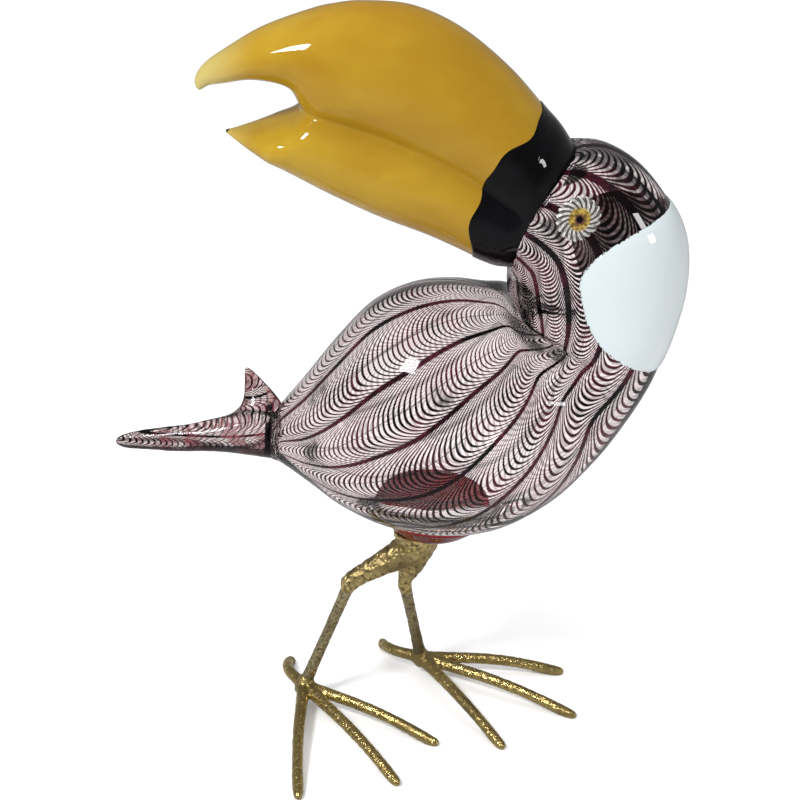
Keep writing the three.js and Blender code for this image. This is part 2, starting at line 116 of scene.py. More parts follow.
# Closed tube of rows: quads between neighbouring rows, a fan on each end. The faces are turned
# round when the enclosed volume, the sum of a . (b x c) / 6, comes out negative.
def tubeMesh(name, rows, uv=None, slots=None):
    rowCount, columnCount = rows.shape[:2]
    index = np.arange(rowCount * columnCount).reshape(rowCount, columnCount)
    a, b = index[:-1], np.roll(index[:-1], -1, axis=1)
    d, c = index[1:], np.roll(index[1:], -1, axis=1)
    quads = np.stack([a, b, c, d], -1).reshape(-1, 4)
    verts = np.vstack([rows.reshape(-1, 3), rows[0].mean(0), rows[-1].mean(0)])
    first, last = len(verts) - 2, len(verts) - 1
    startFan = np.stack([np.roll(index[0], -1), index[0], np.full(columnCount, first)], -1)
    endFan = np.stack([index[-1], np.roll(index[-1], -1), np.full(columnCount, last)], -1)
    tris = np.vstack([startFan, endFan])
    if slots is None:
        slots = np.zeros(rowCount - 1, int)
    faceSlots = np.concatenate([np.repeat(slots, columnCount), np.full(columnCount, slots[0]),
                                np.full(columnCount, slots[-1])])
    # Corner coordinates: the column after the last one is the first, one turn on.
    corner = None
    if uv is not None:
        wide = np.concatenate([uv, uv[:, :1] + [1.0, 0.0]], axis=1)
        quadUv = np.stack([wide[:-1, :-1], wide[:-1, 1:], wide[1:, 1:], wide[1:, :-1]], 2).reshape(-1, 2)
        corner = np.vstack([quadUv, fanUv(wide[0, 1:], wide[0, :-1]), fanUv(wide[-1, :-1], wide[-1, 1:])])
    halves = np.vstack([quads[:, [0, 1, 2]], quads[:, [0, 2, 3]], tris])
    centred = verts - verts.mean(0)
    pa, pb, pc = centred[halves[:, 0]], centred[halves[:, 1]], centred[halves[:, 2]]
    flip = (pa * np.cross(pb, pc)).sum() < 0
    return fillMesh(name, verts, quads, tris, corner, faceSlots, flip)


# New mesh from points, the point of each face corner, and how many corners each face has.
def meshOf(name, verts, corners, totals):
    mesh = bpy.data.meshes.new(name)
    mesh.vertices.add(len(verts))
    mesh.vertices.foreach_set("co", np.asarray(verts, np.float32).ravel())
    mesh.loops.add(len(corners))
    mesh.loops.foreach_set("vertex_index", corners.astype(np.int32))
    mesh.polygons.add(len(totals))
    mesh.polygons.foreach_set("loop_start", (np.cumsum(totals) - totals).astype(np.int32))
    mesh.polygons.foreach_set("loop_total", totals.astype(np.int32))
    return mesh


# Puts arrays of quads and triangles, corner coordinates and material slots into a new mesh.
def fillMesh(name, verts, quads, tris, corner=None, faceSlots=None, flip=False):
    loops = np.concatenate([quads.reshape(-1), tris.reshape(-1)])
    totals = np.concatenate([np.full(len(quads), 4), np.full(len(tris), 3)])
    starts = np.concatenate([[0], np.cumsum(totals)[:-1]])
    if flip:
        ends = starts + totals - 1
        order = np.repeat(starts + ends, totals) - np.arange(len(loops))
        loops = loops[order]
        corner = None if corner is None else corner[order]
    mesh = meshOf(name, verts, loops, totals)
    if faceSlots is not None:
        mesh.polygons.foreach_set("material_index", faceSlots.astype(np.int32))
    mesh.polygons.foreach_set("use_smooth", np.ones(len(totals), bool))
    mesh.update(calc_edges=True)
    mesh.validate()
    if corner is not None:
        layer = mesh.uv_layers.new(name="flow")
        layer.data.foreach_set("uv", np.asarray(corner, np.float32).ravel())
    return mesh


def asObject(name, mesh):
    piece = bpy.data.objects.new(name, mesh)
    bpy.context.scene.collection.objects.link(piece)
    return piece


def vertexPoints(mesh):
    co = np.empty(len(mesh.vertices) * 3, np.float32)
    mesh.vertices.foreach_get("co", co)
    return co.reshape(-1, 3).astype(float)


def cornerVertices(mesh):
    corners = np.empty(len(mesh.loops), np.int32)
    mesh.loops.foreach_get("vertex_index", corners)
    return corners


def faceSizes(mesh):
    totals = np.empty(len(mesh.polygons), np.int32)
    mesh.polygons.foreach_get("loop_total", totals)
    return totals


# Joins closed meshes that run into one another: voxel remesh, then smoothing passes.
def melt(name, meshes, voxel, passes, displace=None):
    offsets = np.cumsum([0] + [len(mesh.vertices) for mesh in meshes[:-1]])
    verts = np.concatenate([vertexPoints(mesh) for mesh in meshes])
    corners = np.concatenate([cornerVertices(mesh) + offset for mesh, offset in zip(meshes, offsets)])
    totals = np.concatenate([faceSizes(mesh) for mesh in meshes])
    joined = meshOf(name, verts, corners, totals)
    joined.update(calc_edges=True)
    piece = asObject(name, joined)
    remesh = piece.modifiers.new("melt", "REMESH")
    remesh.mode, remesh.voxel_size, remesh.adaptivity = "VOXEL", voxel, 0
    smooth = piece.modifiers.new("fire polish", "SMOOTH")
    smooth.factor, smooth.iterations = 0.5, passes
    for texture, strength in displace or ():
        relief = piece.modifiers.new("relief", "DISPLACE")
        relief.texture, relief.strength, relief.mid_level = texture, strength, 0.5
        relief.texture_coords = "LOCAL"
    evaluated = piece.evaluated_get(bpy.context.evaluated_depsgraph_get())
    finished = bpy.data.meshes.new_from_object(evaluated)
    piece.modifiers.clear()
    piece.data = finished
    finished.name = name
    finished.polygons.foreach_set("use_smooth", np.ones(len(finished.polygons), bool))
    return piece


# Gives each face corner the flow coordinates of its vertex.
def vertexUv(mesh, uv):
    layer = mesh.uv_layers.new(name="flow")
    layer.data.foreach_set("uv", np.asarray(uv[cornerVertices(mesh)], np.float32).ravel())


# Hands a piece over: its materials, the nodes it stands for and the body it rides. slotName is not used.
def finish(piece, nodes, slotName, *materials):
    for material in materials:
        piece.data.materials.append(material)
    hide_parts(*nodes)
    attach(piece, rootBody)
    return piece


# Small builder for a node tree: node() adds a node, fills its sockets and links what is linked.
class Tree:
    def __init__(self, tree):
        self.tree = tree

    def node(self, kind, inputs=None, **settings):
        made = self.tree.nodes.new(kind)
        for key, value in settings.items():
            setattr(made, key, value)
        for key, value in (inputs or {}).items():
            if isinstance(value, bpy.types.NodeSocket):
                self.tree.links.new(value, made.inputs[key])
            else:
                made.inputs[key].default_value = value
        return made

    def link(self, value, socket):
        self.tree.links.new(value, socket)

    def math(self, operation, a, b=0.0):
        return self.node("ShaderNodeMath", {0: a, 1: b}, operation=operation).outputs[0]

    def plus(self, a, b):
        return self.math("ADD", a, b)

    def minus(self, a, b):
        return self.math("SUBTRACT", a, b)

    def times(self, a, b):
        return self.math("MULTIPLY", a, b)

    def vector(self, operation, a, b=(0.0, 0.0, 0.0)):
        return self.node("ShaderNodeVectorMath", {0: a, 1: b}, operation=operation).outputs

    def parts(self, vector):
        return self.node("ShaderNodeSeparateXYZ", {0: vector}).outputs

    def ramp(self, value, low, high, outLow=0.0, outHigh=1.0):
        return self.node("ShaderNodeMapRange", {"Value": value, "From Min": low, "From Max": high,
                                                "To Min": outLow, "To Max": outHigh},
                         interpolation_type="SMOOTHSTEP").outputs[0]

    def mix(self, share, a, b):
        made = self.node("ShaderNodeMix", data_type="RGBA")
        for socket, value in ((made.inputs[0], share), (made.inputs[6], a), (made.inputs[7], b)):
            if isinstance(value, bpy.types.NodeSocket):
                self.tree.links.new(value, socket)
            else:
                socket.default_value = value
        return made.outputs[2]

    def noise(self, vector, scale, detail=2.0, roughness=0.5):
        return self.node("ShaderNodeTexNoise", {"Vector": vector, "Scale": scale, "Detail": detail,
                                                "Roughness": roughness}).outputs["Fac"]


# Starts a node group from lists of (label, kind, value) and (label, kind).
def newGroup(name, inputs, outputs):
    group = bpy.data.node_groups.new(name, "ShaderNodeTree")
    for label, kind, value in inputs:
        socket = group.interface.new_socket(label, in_out="INPUT", socket_type=kind)
        if value is not None:
            socket.default_value = value
    for label, kind in outputs:
        group.interface.new_socket(label, in_out="OUTPUT", socket_type=kind)
    tree = Tree(group)
    return group, tree, tree.node("NodeGroupInput").outputs, tree.node("NodeGroupOutput").inputs


floatSocket, vectorSocket = "NodeSocketFloat", "NodeSocketVector"


# Combed threads. With u round the body and v along it, a band is the stretch of u between two canes,
# and e is 1 on a cane and 0 half way. A thread is where v / spacing - drag * e^power is near a whole
# number and a half, so each thread hangs as a U with its arms drawn out along the canes.
def makeFeatherGroup():
    group, t, given, out = newGroup("combedThreads", [
        ("Flow", vectorSocket, None), ("Place", vectorSocket, None), ("Canes", floatSocket, 16.0),
        ("Spacing", floatSocket, 0.0026), ("Drag", floatSocket, 5.0), ("Power", floatSocket, 2.6),
        ("Thread", floatSocket, 0.3), ("Cane", floatSocket, 0.12), ("Wander", floatSocket, 0.3),
        ("Swell From", floatSocket, 0.13), ("Swell To", floatSocket, 0.21),
    ], [("Threads", floatSocket), ("Canes", floatSocket), ("Wine", floatSocket)])
    flow = t.parts(given["Flow"])
    drift = t.noise(given["Place"], 9.0, 0.0)
    drift = t.times(t.minus(drift, 0.5), given["Wander"])
    turn = t.plus(t.times(flow[0], given["Canes"]), drift)
    band = t.math("FLOOR", turn)
    across = t.minus(turn, band)
    edge = t.math("ABSOLUTE", t.minus(t.times(across, 2.0), 1.0))
    chance = t.node("ShaderNodeTexWhiteNoise", {"W": band}, noise_dimensions="1D").outputs["Value"]
    drag = t.times(given["Drag"], t.ramp(chance, 0.0, 1.0, 0.8, 1.2))
    pulled = t.times(drag, t.math("POWER", edge, given["Power"]))
    ripple = t.noise(given["Place"], 45.0, 1.0)
    along = t.math("DIVIDE", flow[1], given["Spacing"])
    phase = t.minus(t.plus(along, t.times(ripple, 1.2)), pulled)
    phase = t.plus(phase, t.times(chance, 7.0))
    offLine = t.math("ABSOLUTE", t.minus(t.math("FRACT", phase), 0.5))
    halfThread = t.times(given["Thread"], t.ramp(ripple, 0.3, 0.7, 0.4, 0.6))
    swell = t.ramp(flow[1], given["Swell From"], given["Swell To"], 1.0, 1.7)
    thicker = t.ramp(swell, 1.0, 1.7, 1.0, 1.3)
    past = t.minus(offLine, t.times(halfThread, thicker))
    threads = t.ramp(past, -0.05, 0.05, 1.0, 0.0)
    nearCane = t.minus(1.0, edge)
    caneWidth = t.times(given["Cane"], t.ramp(drift, -0.1, 0.1, 0.8, 1.25))
    caneWidth = t.times(caneWidth, swell)
    canes = t.ramp(t.minus(nearCane, caneWidth), -0.03, 0.03, 1.0, 0.0)
    hairline = t.ramp(edge, 0.0, 0.05, 1.0, 0.0)
    hairline = t.times(hairline, t.math("GREATER_THAN", chance, 0.5))
    t.link(t.math("MAXIMUM", threads, t.times(hairline, 0.8)), out["Threads"])
    t.link(canes, out["Canes"])
    t.link(t.ramp(t.noise(given["Place"], 60.0, 2.0), 0.42, 0.65), out["Wine"])
    return group


# Drawn glass: long soft streaks and faint seeds. Streaks are a noise stretched along one direction.
def makeStreakGroup():
    group, t, given, out = newGroup("drawnGlass", [
        ("Place", vectorSocket, None), ("Scale", floatSocket, 30.0), ("Stretch", vectorSocket, (0.3, 1, 1)),
    ], [("Streaks", floatSocket), ("Haze", floatSocket), ("Seeds", floatSocket)])
    stretched = t.vector("MULTIPLY", given["Place"], given["Stretch"])[0]
    streaks = t.noise(stretched, given["Scale"], 4.0, 0.6)
    haze = t.noise(given["Place"], t.times(given["Scale"], 0.35), 2.0)
    cells = t.node("ShaderNodeTexVoronoi", {"Vector": given["Place"],
                                            "Scale": t.times(given["Scale"], 9.0)})
    seeds = t.ramp(cells.outputs["Distance"], 0.04, 0.1, 1.0, 0.0)
    t.link(t.ramp(streaks, 0.35, 0.7), out["Streaks"])
    t.link(t.ramp(haze, 0.3, 0.7), out["Haze"])
    t.link(seeds, out["Seeds"])
    return group


# Cast and gilt metal: coarse lumps, fine grain, and a patina that lies in the hollows between lumps.
def makeCastGroup():
    group, t, given, out = newGroup("castMetal", [
        ("Place", vectorSocket, None), ("Lumps", floatSocket, 420.0), ("Grain", floatSocket, 1500.0),
        ("Patina", floatSocket, 0.5),
    ], [("Height", floatSocket), ("Patina", floatSocket), ("Sparkle", floatSocket)])
    lumps = t.node("ShaderNodeTexVoronoi", {"Vector": given["Place"], "Scale": given["Lumps"]},
                   feature="SMOOTH_F1").outputs["Distance"]
    grain = t.noise(given["Place"], given["Grain"], 4.0, 0.65)
    broad = t.noise(given["Place"], 45.0, 3.0)
    height = t.plus(t.times(lumps, -0.7), t.times(grain, 0.35))
    hollow = t.ramp(lumps, 0.25, 0.75)
    stain = t.ramp(t.plus(broad, t.times(grain, 0.25)), 0.45, 0.85)
    patina = t.times(t.math("MAXIMUM", hollow, stain), given["Patina"])
    t.link(height, out["Height"])
    t.link(patina, out["Patina"])
    t.link(t.ramp(grain, 0.5, 0.72), out["Sparkle"])
    return group


featherGroup, streakGroup, castGroup = makeFeatherGroup(), makeStreakGroup(), makeCastGroup()
print("shader groups made")


# Starts a material: its tree, its Principled shader and its object coordinates.
def newMaterial(name, **values):
    material = bpy.data.materials.new(name)
    material.use_nodes = True
    material.node_tree.nodes.clear()
    t = Tree(material.node_tree)
    shader = t.node("ShaderNodeBsdfPrincipled")
    for label, value in values.items():
        shader.inputs[label].default_value = value
    output = t.node("ShaderNodeOutputMaterial")
    t.link(shader.outputs[0], output.inputs[0])
    place = t.node("ShaderNodeTexCoord").outputs["Object"]
    return material, t, shader, place


# Places a node group in a material with its own values, and gives its outputs.
def placed(t, group, **inputs):
    made = t.node("ShaderNodeGroup", node_tree=group)
    for label, value in inputs.items():
        if isinstance(value, bpy.types.NodeSocket):
            t.link(value, made.inputs[label])
        else:
            made.inputs[label].default_value = value
    return made.outputs


clearGlass = {"Roughness": 0.01, "IOR": 1.5, "Transmission Weight": 1.0, "Metallic": 0.0}


# x, y and z of the drawn outlines, in metres, at the place that is shaded.
def drawnPlace(t, place):
    return t.parts(t.vector("ADD", place, tuple(-glassOrigin))[0])


# The colour that is linked to a shader so far, so that another can be laid over it.
def colorSoFar(shader):
    return shader.inputs["Base Color"].links[0].from_socket


def paint(t, shader, color):
    t.link(color, shader.inputs["Base Color"])


# Lets light from lamps through a glass shader, so what stands in and behind the glass is lit.
def openToLamps(t, shader, share):
    lamp = t.node("ShaderNodeLightPath").outputs["Is Shadow Ray"]
    clear = t.node("ShaderNodeBsdfTransparent", {0: (0.9, 0.86, 0.86, 1)}).outputs[0]
    clearShare = t.times(lamp, share)
    mixer = t.node("ShaderNodeMixShader", {0: clearShare, 1: shader.outputs[0], 2: clear})
    output = next(n for n in t.tree.nodes if n.type == "OUTPUT_MATERIAL")
    t.link(mixer.outputs[0], output.inputs[0])


view = {
    "elevation": 28.0,  # degrees above level
    "distance": 0.9,
    "aim": (0.0017, 0.0141, -0.0108),  # from the middle of the object's box
    "lens": 92.05,
}


def addCamera():
    low, high = cadBounds
    aim = (Vector(low) + Vector(high)) / 2 + Vector(view["aim"])
    elevation = math.radians(view["elevation"])
    away = Vector((0, -math.cos(elevation), math.sin(elevation)))
    data = bpy.data.cameras.new("camera")
    data.lens, data.sensor_width = view["lens"], 36.0
    camera = bpy.data.objects.new("camera", data)
    camera.location = aim + away * view["distance"]
    camera.rotation_euler = (math.pi / 2 - elevation, 0, 0)
    bpy.context.scene.collection.objects.link(camera)
    bpy.context.scene.camera = camera


studio = {
    "world": (0.98, 0.99, 1.0, 1),
    "worldStrength": 0.8,
    "mirrored": 0.22,  # strength in mirrors and through glass, so black, metal and rims keep their depth
    "floorHalf": 6.0,
    "paper": (0.93, 0.93, 0.935, 1),
    "paperCloud": (0.95, 0.95, 0.95, 1),
    "paperMirrored": (0.36, 0.36, 0.36, 1),
    # direction from the bird, distance, size, power
    "softbox": ((-0.52, -0.5, 0.8), 1.1, 0.23, 9.5),
    "overhead": ((0.1, 0.35, 1.0), 1.7, 2.2, 11.0),
    "side": ((0.93, -0.34, 0.28), 1.1, 0.13, 1.6),
    "fill": ((-0.3, -1.0, 0.5), 1.9, 1.3, 2.0),
}


def addLights():
    world = bpy.data.worlds.new("studio")
    world.use_nodes = True
    background = world.node_tree.nodes["Background"]
    background.inputs[0].default_value = studio["world"]
    t = Tree(world.node_tree)
    path = t.node("ShaderNodeLightPath").outputs
    mirrored = t.math("MAXIMUM", path["Is Glossy Ray"], path["Is Transmission Ray"])
    strength = t.ramp(mirrored, 0.0, 1.0, studio["worldStrength"], studio["mirrored"])
    t.link(strength, background.inputs[1])
    bpy.context.scene.world = world
    middle = Vector((0, 0, (cadBounds[0][2] + cadBounds[1][2]) / 2))
    for name in ("softbox", "overhead", "side", "fill"):
        direction, distance, size, power = studio[name]
        data = bpy.data.lights.new(name, "AREA")
        data.energy, data.shape, data.size = power, "SQUARE", size
        lamp = bpy.data.objects.new(name, data)
        lamp.visible_glossy = name in ("softbox", "side")
        toward = Vector(direction).normalized()
        lamp.location = middle + toward * distance
        lamp.rotation_euler = toward.to_track_quat("Z", "Y").to_euler()
        bpy.context.scene.collection.objects.link(lamp)


def addFloor():
    half = studio["floorHalf"]
    ground = float(cadBounds[0][2])
    corners = [(-half, -half, ground), (half, -half, ground), (half, half, ground), (-half, half, ground)]
    mesh = bpy.data.meshes.new("floor")
    mesh.from_pydata(corners, [], [(0, 1, 2, 3)])
    floor = asObject("floor", mesh)
    material, t, shader, place = newMaterial("pale paper", **{"Roughness": 0.8, "Specular IOR Level": 0.2})
    soft = t.noise(place, 3.0, 2.0)
    # in mirrors the paper is greyer, like a studio that ends beyond it
    path = t.node("ShaderNodeLightPath").outputs
    reflected = t.times(path["Is Glossy Ray"], t.minus(1.0, path["Is Transmission Ray"]))
    paper = t.mix(soft, studio["paper"], studio["paperCloud"])
    paint(t, shader, t.mix(reflected, paper, studio["paperMirrored"]))
    mesh.materials.append(material)


bpy.context.scene.view_settings.view_transform = "Standard"
addCamera()
addLights()
addFloor()
print("camera, lights and floor set")

# Glass bubble: body, neck and head blown in one
bubble = {
    # one ring to a line: x and z on the back, x and z on the belly, half width, all in mm
    "rings": [
        (-66, 54, -67, 33.5, 9.6), (-61, 61, -62, 31.5, 13.5), (-51, 72.5, -50, 24, 25),
        (-37, 90, -35, 13.5, 38), (-22, 106, -15, 4, 46.8), (-5, 114.5, 9, 0, 52),
        (12, 116.5, 34, 3.5, 52), (26, 113.5, 58, 18, 49.6), (34.5, 109, 76, 37.5, 45.8),
        (39, 104.5, 89, 56, 41), (40.5, 103.8, 100, 76, 36.4), (40.8, 105.5, 107, 98, 34),
        (38.8, 109.5, 111, 119, 32.8), (36.5, 114, 110, 139, 32), (35.5, 120, 103, 155.5, 31.2),
        (35.5, 123.5, 90.5, 171.5, 30.7), (35.5, 125.5, 76, 180.5, 30), (36, 127, 63, 181, 29.2),
    ],
    "backWall": 3.2,
    "bellyWall": 16.0,
    "around": 224,
    "along": 300,
    "innerAlong": 130,
    # rings, and how far the canes crowd there to the back (to the belly where negative), in radians
    "crowdAt": (0, 5, 8.9, 10.5, 17),
    "crowd": (-0.85, -0.1, 0.88, 0.68, 0.3),
    "crowdSteps": 840,
    "crowdWindow": 81,
    # the fold and the lobe behind it: share of the ring, ring they lie at, and width in rings
    "creaseDepth": 0.33, "creaseAt": 10.0, "creaseWidth": 0.5,
    "lobeSwell": 0.13, "lobeAt": 8.2, "lobeWidth": 1.0,
    "rimReach": 8.0,  # how far the head's rim reaches forward, in mm, and over how many rings
    "rimRings": 1.7,
    "rollDepth": 0.035,  # share by which the rim rolls in, and over how many rings
    "rollRings": 0.25,
    "threads": {"Canes": 13.0, "Spacing": 0.0026, "Drag": 5.6, "Thread": 0.43, "Cane": 0.1, "Wander": 0.14},
    "glass": (0.86, 0.76, 0.755, 1),
    "farSoft": 0.4,
    "lampShare": 0.75,
    "innerLampShare": 0.9,
    "inner": (0.985, 0.975, 0.975, 1),
    "innerVeil": (0.96, 0.945, 0.95, 1),
}
ringTable = np.array(bubble["rings"], float)
lastRing = len(ringTable) - 1
beakward = np.array([-0.78, 0.62])


# Point of the bubble: half way between the two outline points, plus half their distance times
# cos(angle) along the ring and the half width times sin(angle) across it. The wall takes its
# thickness off both, and floor stops the ring short of the belly by a softened minimum.
def bubblePoint(station, angle, wall=0.0, floor=None):
    station, angle = np.broadcast_arrays(station, angle)
    row = smoothLine(ringTable, np.clip(station, 0, lastRing))
    back, belly = row[..., 0:2], row[..., 2:4]
    half = (belly - back) / 2
    reach = np.linalg.norm(half, axis=-1)
    along = half / reach[..., None]
    # fold where the neck turns up from the back, cut deeper into the back half of the rings, and the
    # lobe behind it swelling over the fold
    turned = np.abs(np.mod(angle + math.pi, 2 * math.pi) - math.pi)
    backward = smoothStep(turned, 1.3, 2.1) * (1 - 0.6 * smoothStep(turned, 2.3, 3.1))
    crease = bubble["creaseDepth"] * hump(station, bubble["creaseAt"], bubble["creaseWidth"])
    lobe = bubble["lobeSwell"] * hump(station, bubble["lobeAt"], bubble["lobeWidth"])
    size = 1 - backward * (crease - lobe)
    down = (reach - wall) * np.cos(angle) * size
    if floor is not None:
        down = -2.0 * np.logaddexp(-down / 2.0, -(reach - floor) / 2.0)
    # the head's rim reaches forward at its sides and rolls in at its edge
    nearRim = smoothStep(station, lastRing - bubble["rimRings"], lastRing)
    rim = nearRim * np.sin(angle) ** 2 * bubble["rimReach"]
    roll = 1 - bubble["rollDepth"] * smoothStep(station, lastRing - bubble["rollRings"], lastRing) ** 2
    flat = (back + belly) / 2 + along * down[..., None] * roll[..., None] + rim[..., None] * beakward
    across = (row[..., 4] - wall) * np.sin(angle) * size * roll
    return onGlass(flat[..., 0], flat[..., 1], across)


# Thickness under the belly rises from the back wall's to the belly wall's over the rings above the pad.
def bellyInsetAt(station):
    rise = smoothStep(station, 3, 4.6) * (1 - smoothStep(station, 5.4, 7))
    return bubble["backWall"] + (bubble["bellyWall"] - bubble["backWall"]) * rise


# Flow coordinates: u = angle / turn minus the crowding times sin(angle), v = length along the axis.
# The crowding runs straight from ring to ring and is then averaged over a window of two rings.
def flowUv(station, angle):
    wide = np.linspace(-2, lastRing + 2, bubble["crowdSteps"])
    window = np.hanning(bubble["crowdWindow"])
    straight = np.interp(wide, bubble["crowdAt"], bubble["crowd"])
    crowd = np.interp(station, wide, np.convolve(straight, window / window.sum(), "same"))
    u = (angle - crowd * np.sin(angle)) / (2 * math.pi)
    fine = np.linspace(0, lastRing, 600)
    side = bubblePoint(fine, math.pi / 2)
    length = np.concatenate([[0], np.cumsum(np.linalg.norm(np.diff(side, axis=0), axis=1))])
    return np.stack([u, np.interp(station, fine, length)], -1)


# Closed wall: the outer rings from tail to head, then the inner rings back again, offset by the wall.
def makeBubble():
    angle = np.linspace(0, 2 * math.pi, bubble["around"], endpoint=False)[None, :]
    station = np.linspace(0, lastRing, bubble["along"])[:, None]
    station, angle = np.broadcast_arrays(station, angle)
    outer = bubblePoint(station, angle)
    outerUv = flowUv(station, angle)
    inStation = np.linspace(lastRing, 0.7, bubble["innerAlong"])[:, None]
    inStation, inAngle = np.broadcast_arrays(inStation, angle[:1])
    inset = bellyInsetAt(inStation)
    inner = bubblePoint(inStation, inAngle, bubble["backWall"], inset)
    rows = np.concatenate([outer, inner])
    uv = np.concatenate([outerUv, flowUv(inStation, inAngle)])
    slots = np.concatenate([np.zeros(len(outer) - 1, int), np.ones(len(inner), int)])
    return asObject("glassBubble", tubeMesh("glassBubble", rows, uv, slots))


threadColors = {
    "thread": (0.00005, 0.00001, 0.00003, 1),
    "threadWine": (0.011, 0.0003, 0.0014, 1),
    "cane": (0.00003, 0.00001, 0.00002, 1),
    "caneWine": (0.007, 0.0002, 0.001, 1),
    "mirrorTint": (0.4, 0.38, 0.4, 1),
}


# Threads and canes darken the glass where light goes in; seen from inside, on the far wall, they are
# softer by the share farSoft.
def threadedGlass(name, piece):
    material, t, shader, place = newMaterial(name, **clearGlass, **{
        "Specular IOR Level": 0.3, "Specular Tint": threadColors["mirrorTint"],
    })
    flow = t.node("ShaderNodeUVMap", uv_map="flow").outputs[0]
    combed = placed(t, featherGroup, Flow=flow, Place=place, **piece["threads"])
    dark = t.mix(combed["Wine"], threadColors["thread"], threadColors["threadWine"])
    caneDark = t.mix(combed["Wine"], threadColors["cane"], threadColors["caneWine"])
    far = t.node("ShaderNodeNewGeometry").outputs["Backfacing"]
    near = t.minus(1.0, t.times(far, piece["farSoft"]))
    body = t.mix(t.times(combed["Threads"], near), piece["glass"], dark)
    paint(t, shader, t.mix(t.times(combed["Canes"], near), body, caneDark))
    openToLamps(t, shader, piece["lampShare"])
    return material, t, shader, place


# Painted dark refractions: shade painted into the glass at a few places of both sides, at the fold and
# where dark surroundings and crowded canes would show through. Each is nearness to a spot, the side taken
# as the distance from the middle plane, broken up by noise.
paintedDarkRefraction = {
    # x, distance from the middle plane, z and radius, in mm
    "spots": [
        (41, 13, 104, 13), (47, 21, 99, 8), (57, 22, 95, 8), (8, 45, 88, 8), (-48, 27, 52, 10),
        (80, 20, 170, 10), (94, 16, 160, 11), (51, 29, 157, 7), (60, 30, 128, 6),
    ],
    "grain": 95.0,
    "share": 0.93,
    "core": 0.35,  # share of a spot's radius that is darkest
    "color": (0.0005, 0.0003, 0.0004, 1),
}


# Mask of the painted dark refractions, the largest of the spots' masks: each is 1 in its core and falls to
# 0 at its radius, times the grain.
def paintedDarkRefractionMask(t, place):
    xyz = drawnPlace(t, place)
    fromMiddle = t.math("ABSOLUTE", xyz[1])
    folded = t.node("ShaderNodeCombineXYZ", {0: xyz[0], 1: fromMiddle, 2: xyz[2]}).outputs[0]
    grain = t.ramp(t.noise(place, paintedDarkRefraction["grain"], 3.0), 0.35, 0.6)
    mask = 0.0
    for number, (x, y, z, radius) in enumerate(paintedDarkRefraction["spots"]):
        away = t.vector("DISTANCE", folded, (mm(x), mm(y), mm(z)))["Value"]
        near = t.ramp(away, mm(radius) * paintedDarkRefraction["core"], mm(radius), 1.0, 0.0)
        mask = t.math("MAXIMUM", mask, near if number == 0 else t.times(near, grain))
    return mask


def bubbleGlass():
    material, t, shader, place = threadedGlass("combed thread glass", bubble)
    # painted shade: the dark refraction spots laid over the threaded glass's colour
    paintedDarkShare = t.times(paintedDarkRefractionMask(t, place), paintedDarkRefraction["share"])
    paint(t, shader, t.mix(paintedDarkShare, colorSoFar(shader), paintedDarkRefraction["color"]))
    return material


def innerGlass():
    material, t, shader, place = newMaterial("bubble inside", **clearGlass)
    veil = placed(t, streakGroup, Place=place, Scale=25.0)
    paint(t, shader, t.mix(veil["Haze"], bubble["inner"], bubble["innerVeil"]))
    openToLamps(t, shader, bubble["innerLampShare"])
    return material


finish(makeBubble(), ["glass_bubble"], "threaded_glass", bubbleGlass(), innerGlass())
print("bubble made")

tail = {
    # x, y, z of each section's middle; x and z of its long half axis; half width across
    "longProng": [
        (-64.5, 0, 43.7, 0.5, 10.4, 9.6), (-71, 0, 44.6, 0, 10.6, 9.2), (-80, 0, 45.6, 0, 10, 8.5),
        (-89, 0, 44.7, 0, 8, 7.6), (-104, 0, 43, 0, 6.3, 6), (-118, 0, 42.2, 0, 5.2, 4.6),
        (-130, 0, 41.6, 0, 3.9, 3), (-135.6, 0, 41.2, 0, 2, 1.6), (-136.6, 0, 41.2, 0, 0.6, 0.6),
    ],
    "shortProng": [
        (-78.5, 0, 43, 17.5, 0, 8), (-77.5, 3, 49, 16, 1, 6), (-73.6, 5.5, 53, 11.6, 1, 5),
        (-71.6, 8, 56.5, 8.9, 0.5, 4.2), (-75.2, 14, 63.5, 4.3, 1, 2.8), (-78, 18.2, 67.6, 1.7, 0.3, 1.3),
        (-78.6, 19, 68.6, 0.6, 0.1, 0.5),
    ],
    "voxel": 0.00055,
    "polish": 30,
    "ripple": 0.0006,
    "threads": {"Canes": 9.0, "Spacing": 0.0024, "Drag": 5.0, "Thread": 0.36, "Cane": 0.09, "Wander": 1.8},
    "glass": (0.66, 0.55, 0.54, 1),
    "farSoft": 0.1,
    "lampShare": 0.6,
    # flow coordinates: x of the root, length, middle height, and how the height narrows along it, in mm
    "flowRoot": -66.0, "flowLength": 70.0, "flowMiddle": 44.0, "flowHeight": 14.0, "flowNarrowing": 7.0,
    # each fades between two places, in mm: heights, or distances along x
    "underShadeTop": (37.5, 40.5), "rootFrom": (-66.3, -65.8), "rootTop": (52, 55),
    "bandFrom": (-68.9, -68.4), "bandTop": (53, 56),
    "stain": (0.09, 0.007, 0.012, 1),
    # painted shade of the prong's underside
    "underShade": (0.004, 0.002, 0.003, 1),
    "root": (0.93, 0.9, 0.9, 1),
    "band": (0.0006, 0.0004, 0.0006, 1),
}


# Section of a prong: middle + long half axis * cos(angle) + half width * sin(angle) across.
def prongMesh(sections, around, along):
    t = np.linspace(0, len(sections) - 1, along)[:, None]
    angle = np.linspace(0, 2 * math.pi, around, endpoint=False)[None, :]
    t, angle = np.broadcast_arrays(t, angle)
    s = smoothLine(sections, t)
    x = s[..., 0] + s[..., 3] * np.cos(angle)
    z = s[..., 2] + s[..., 4] * np.cos(angle)
    y = s[..., 1] + s[..., 5] * np.sin(angle)
    return tubeMesh("prong", onGlass(x, z, y))


swirled = bpy.data.textures.new("swirled", "CLOUDS")
swirled.noise_scale = 0.009


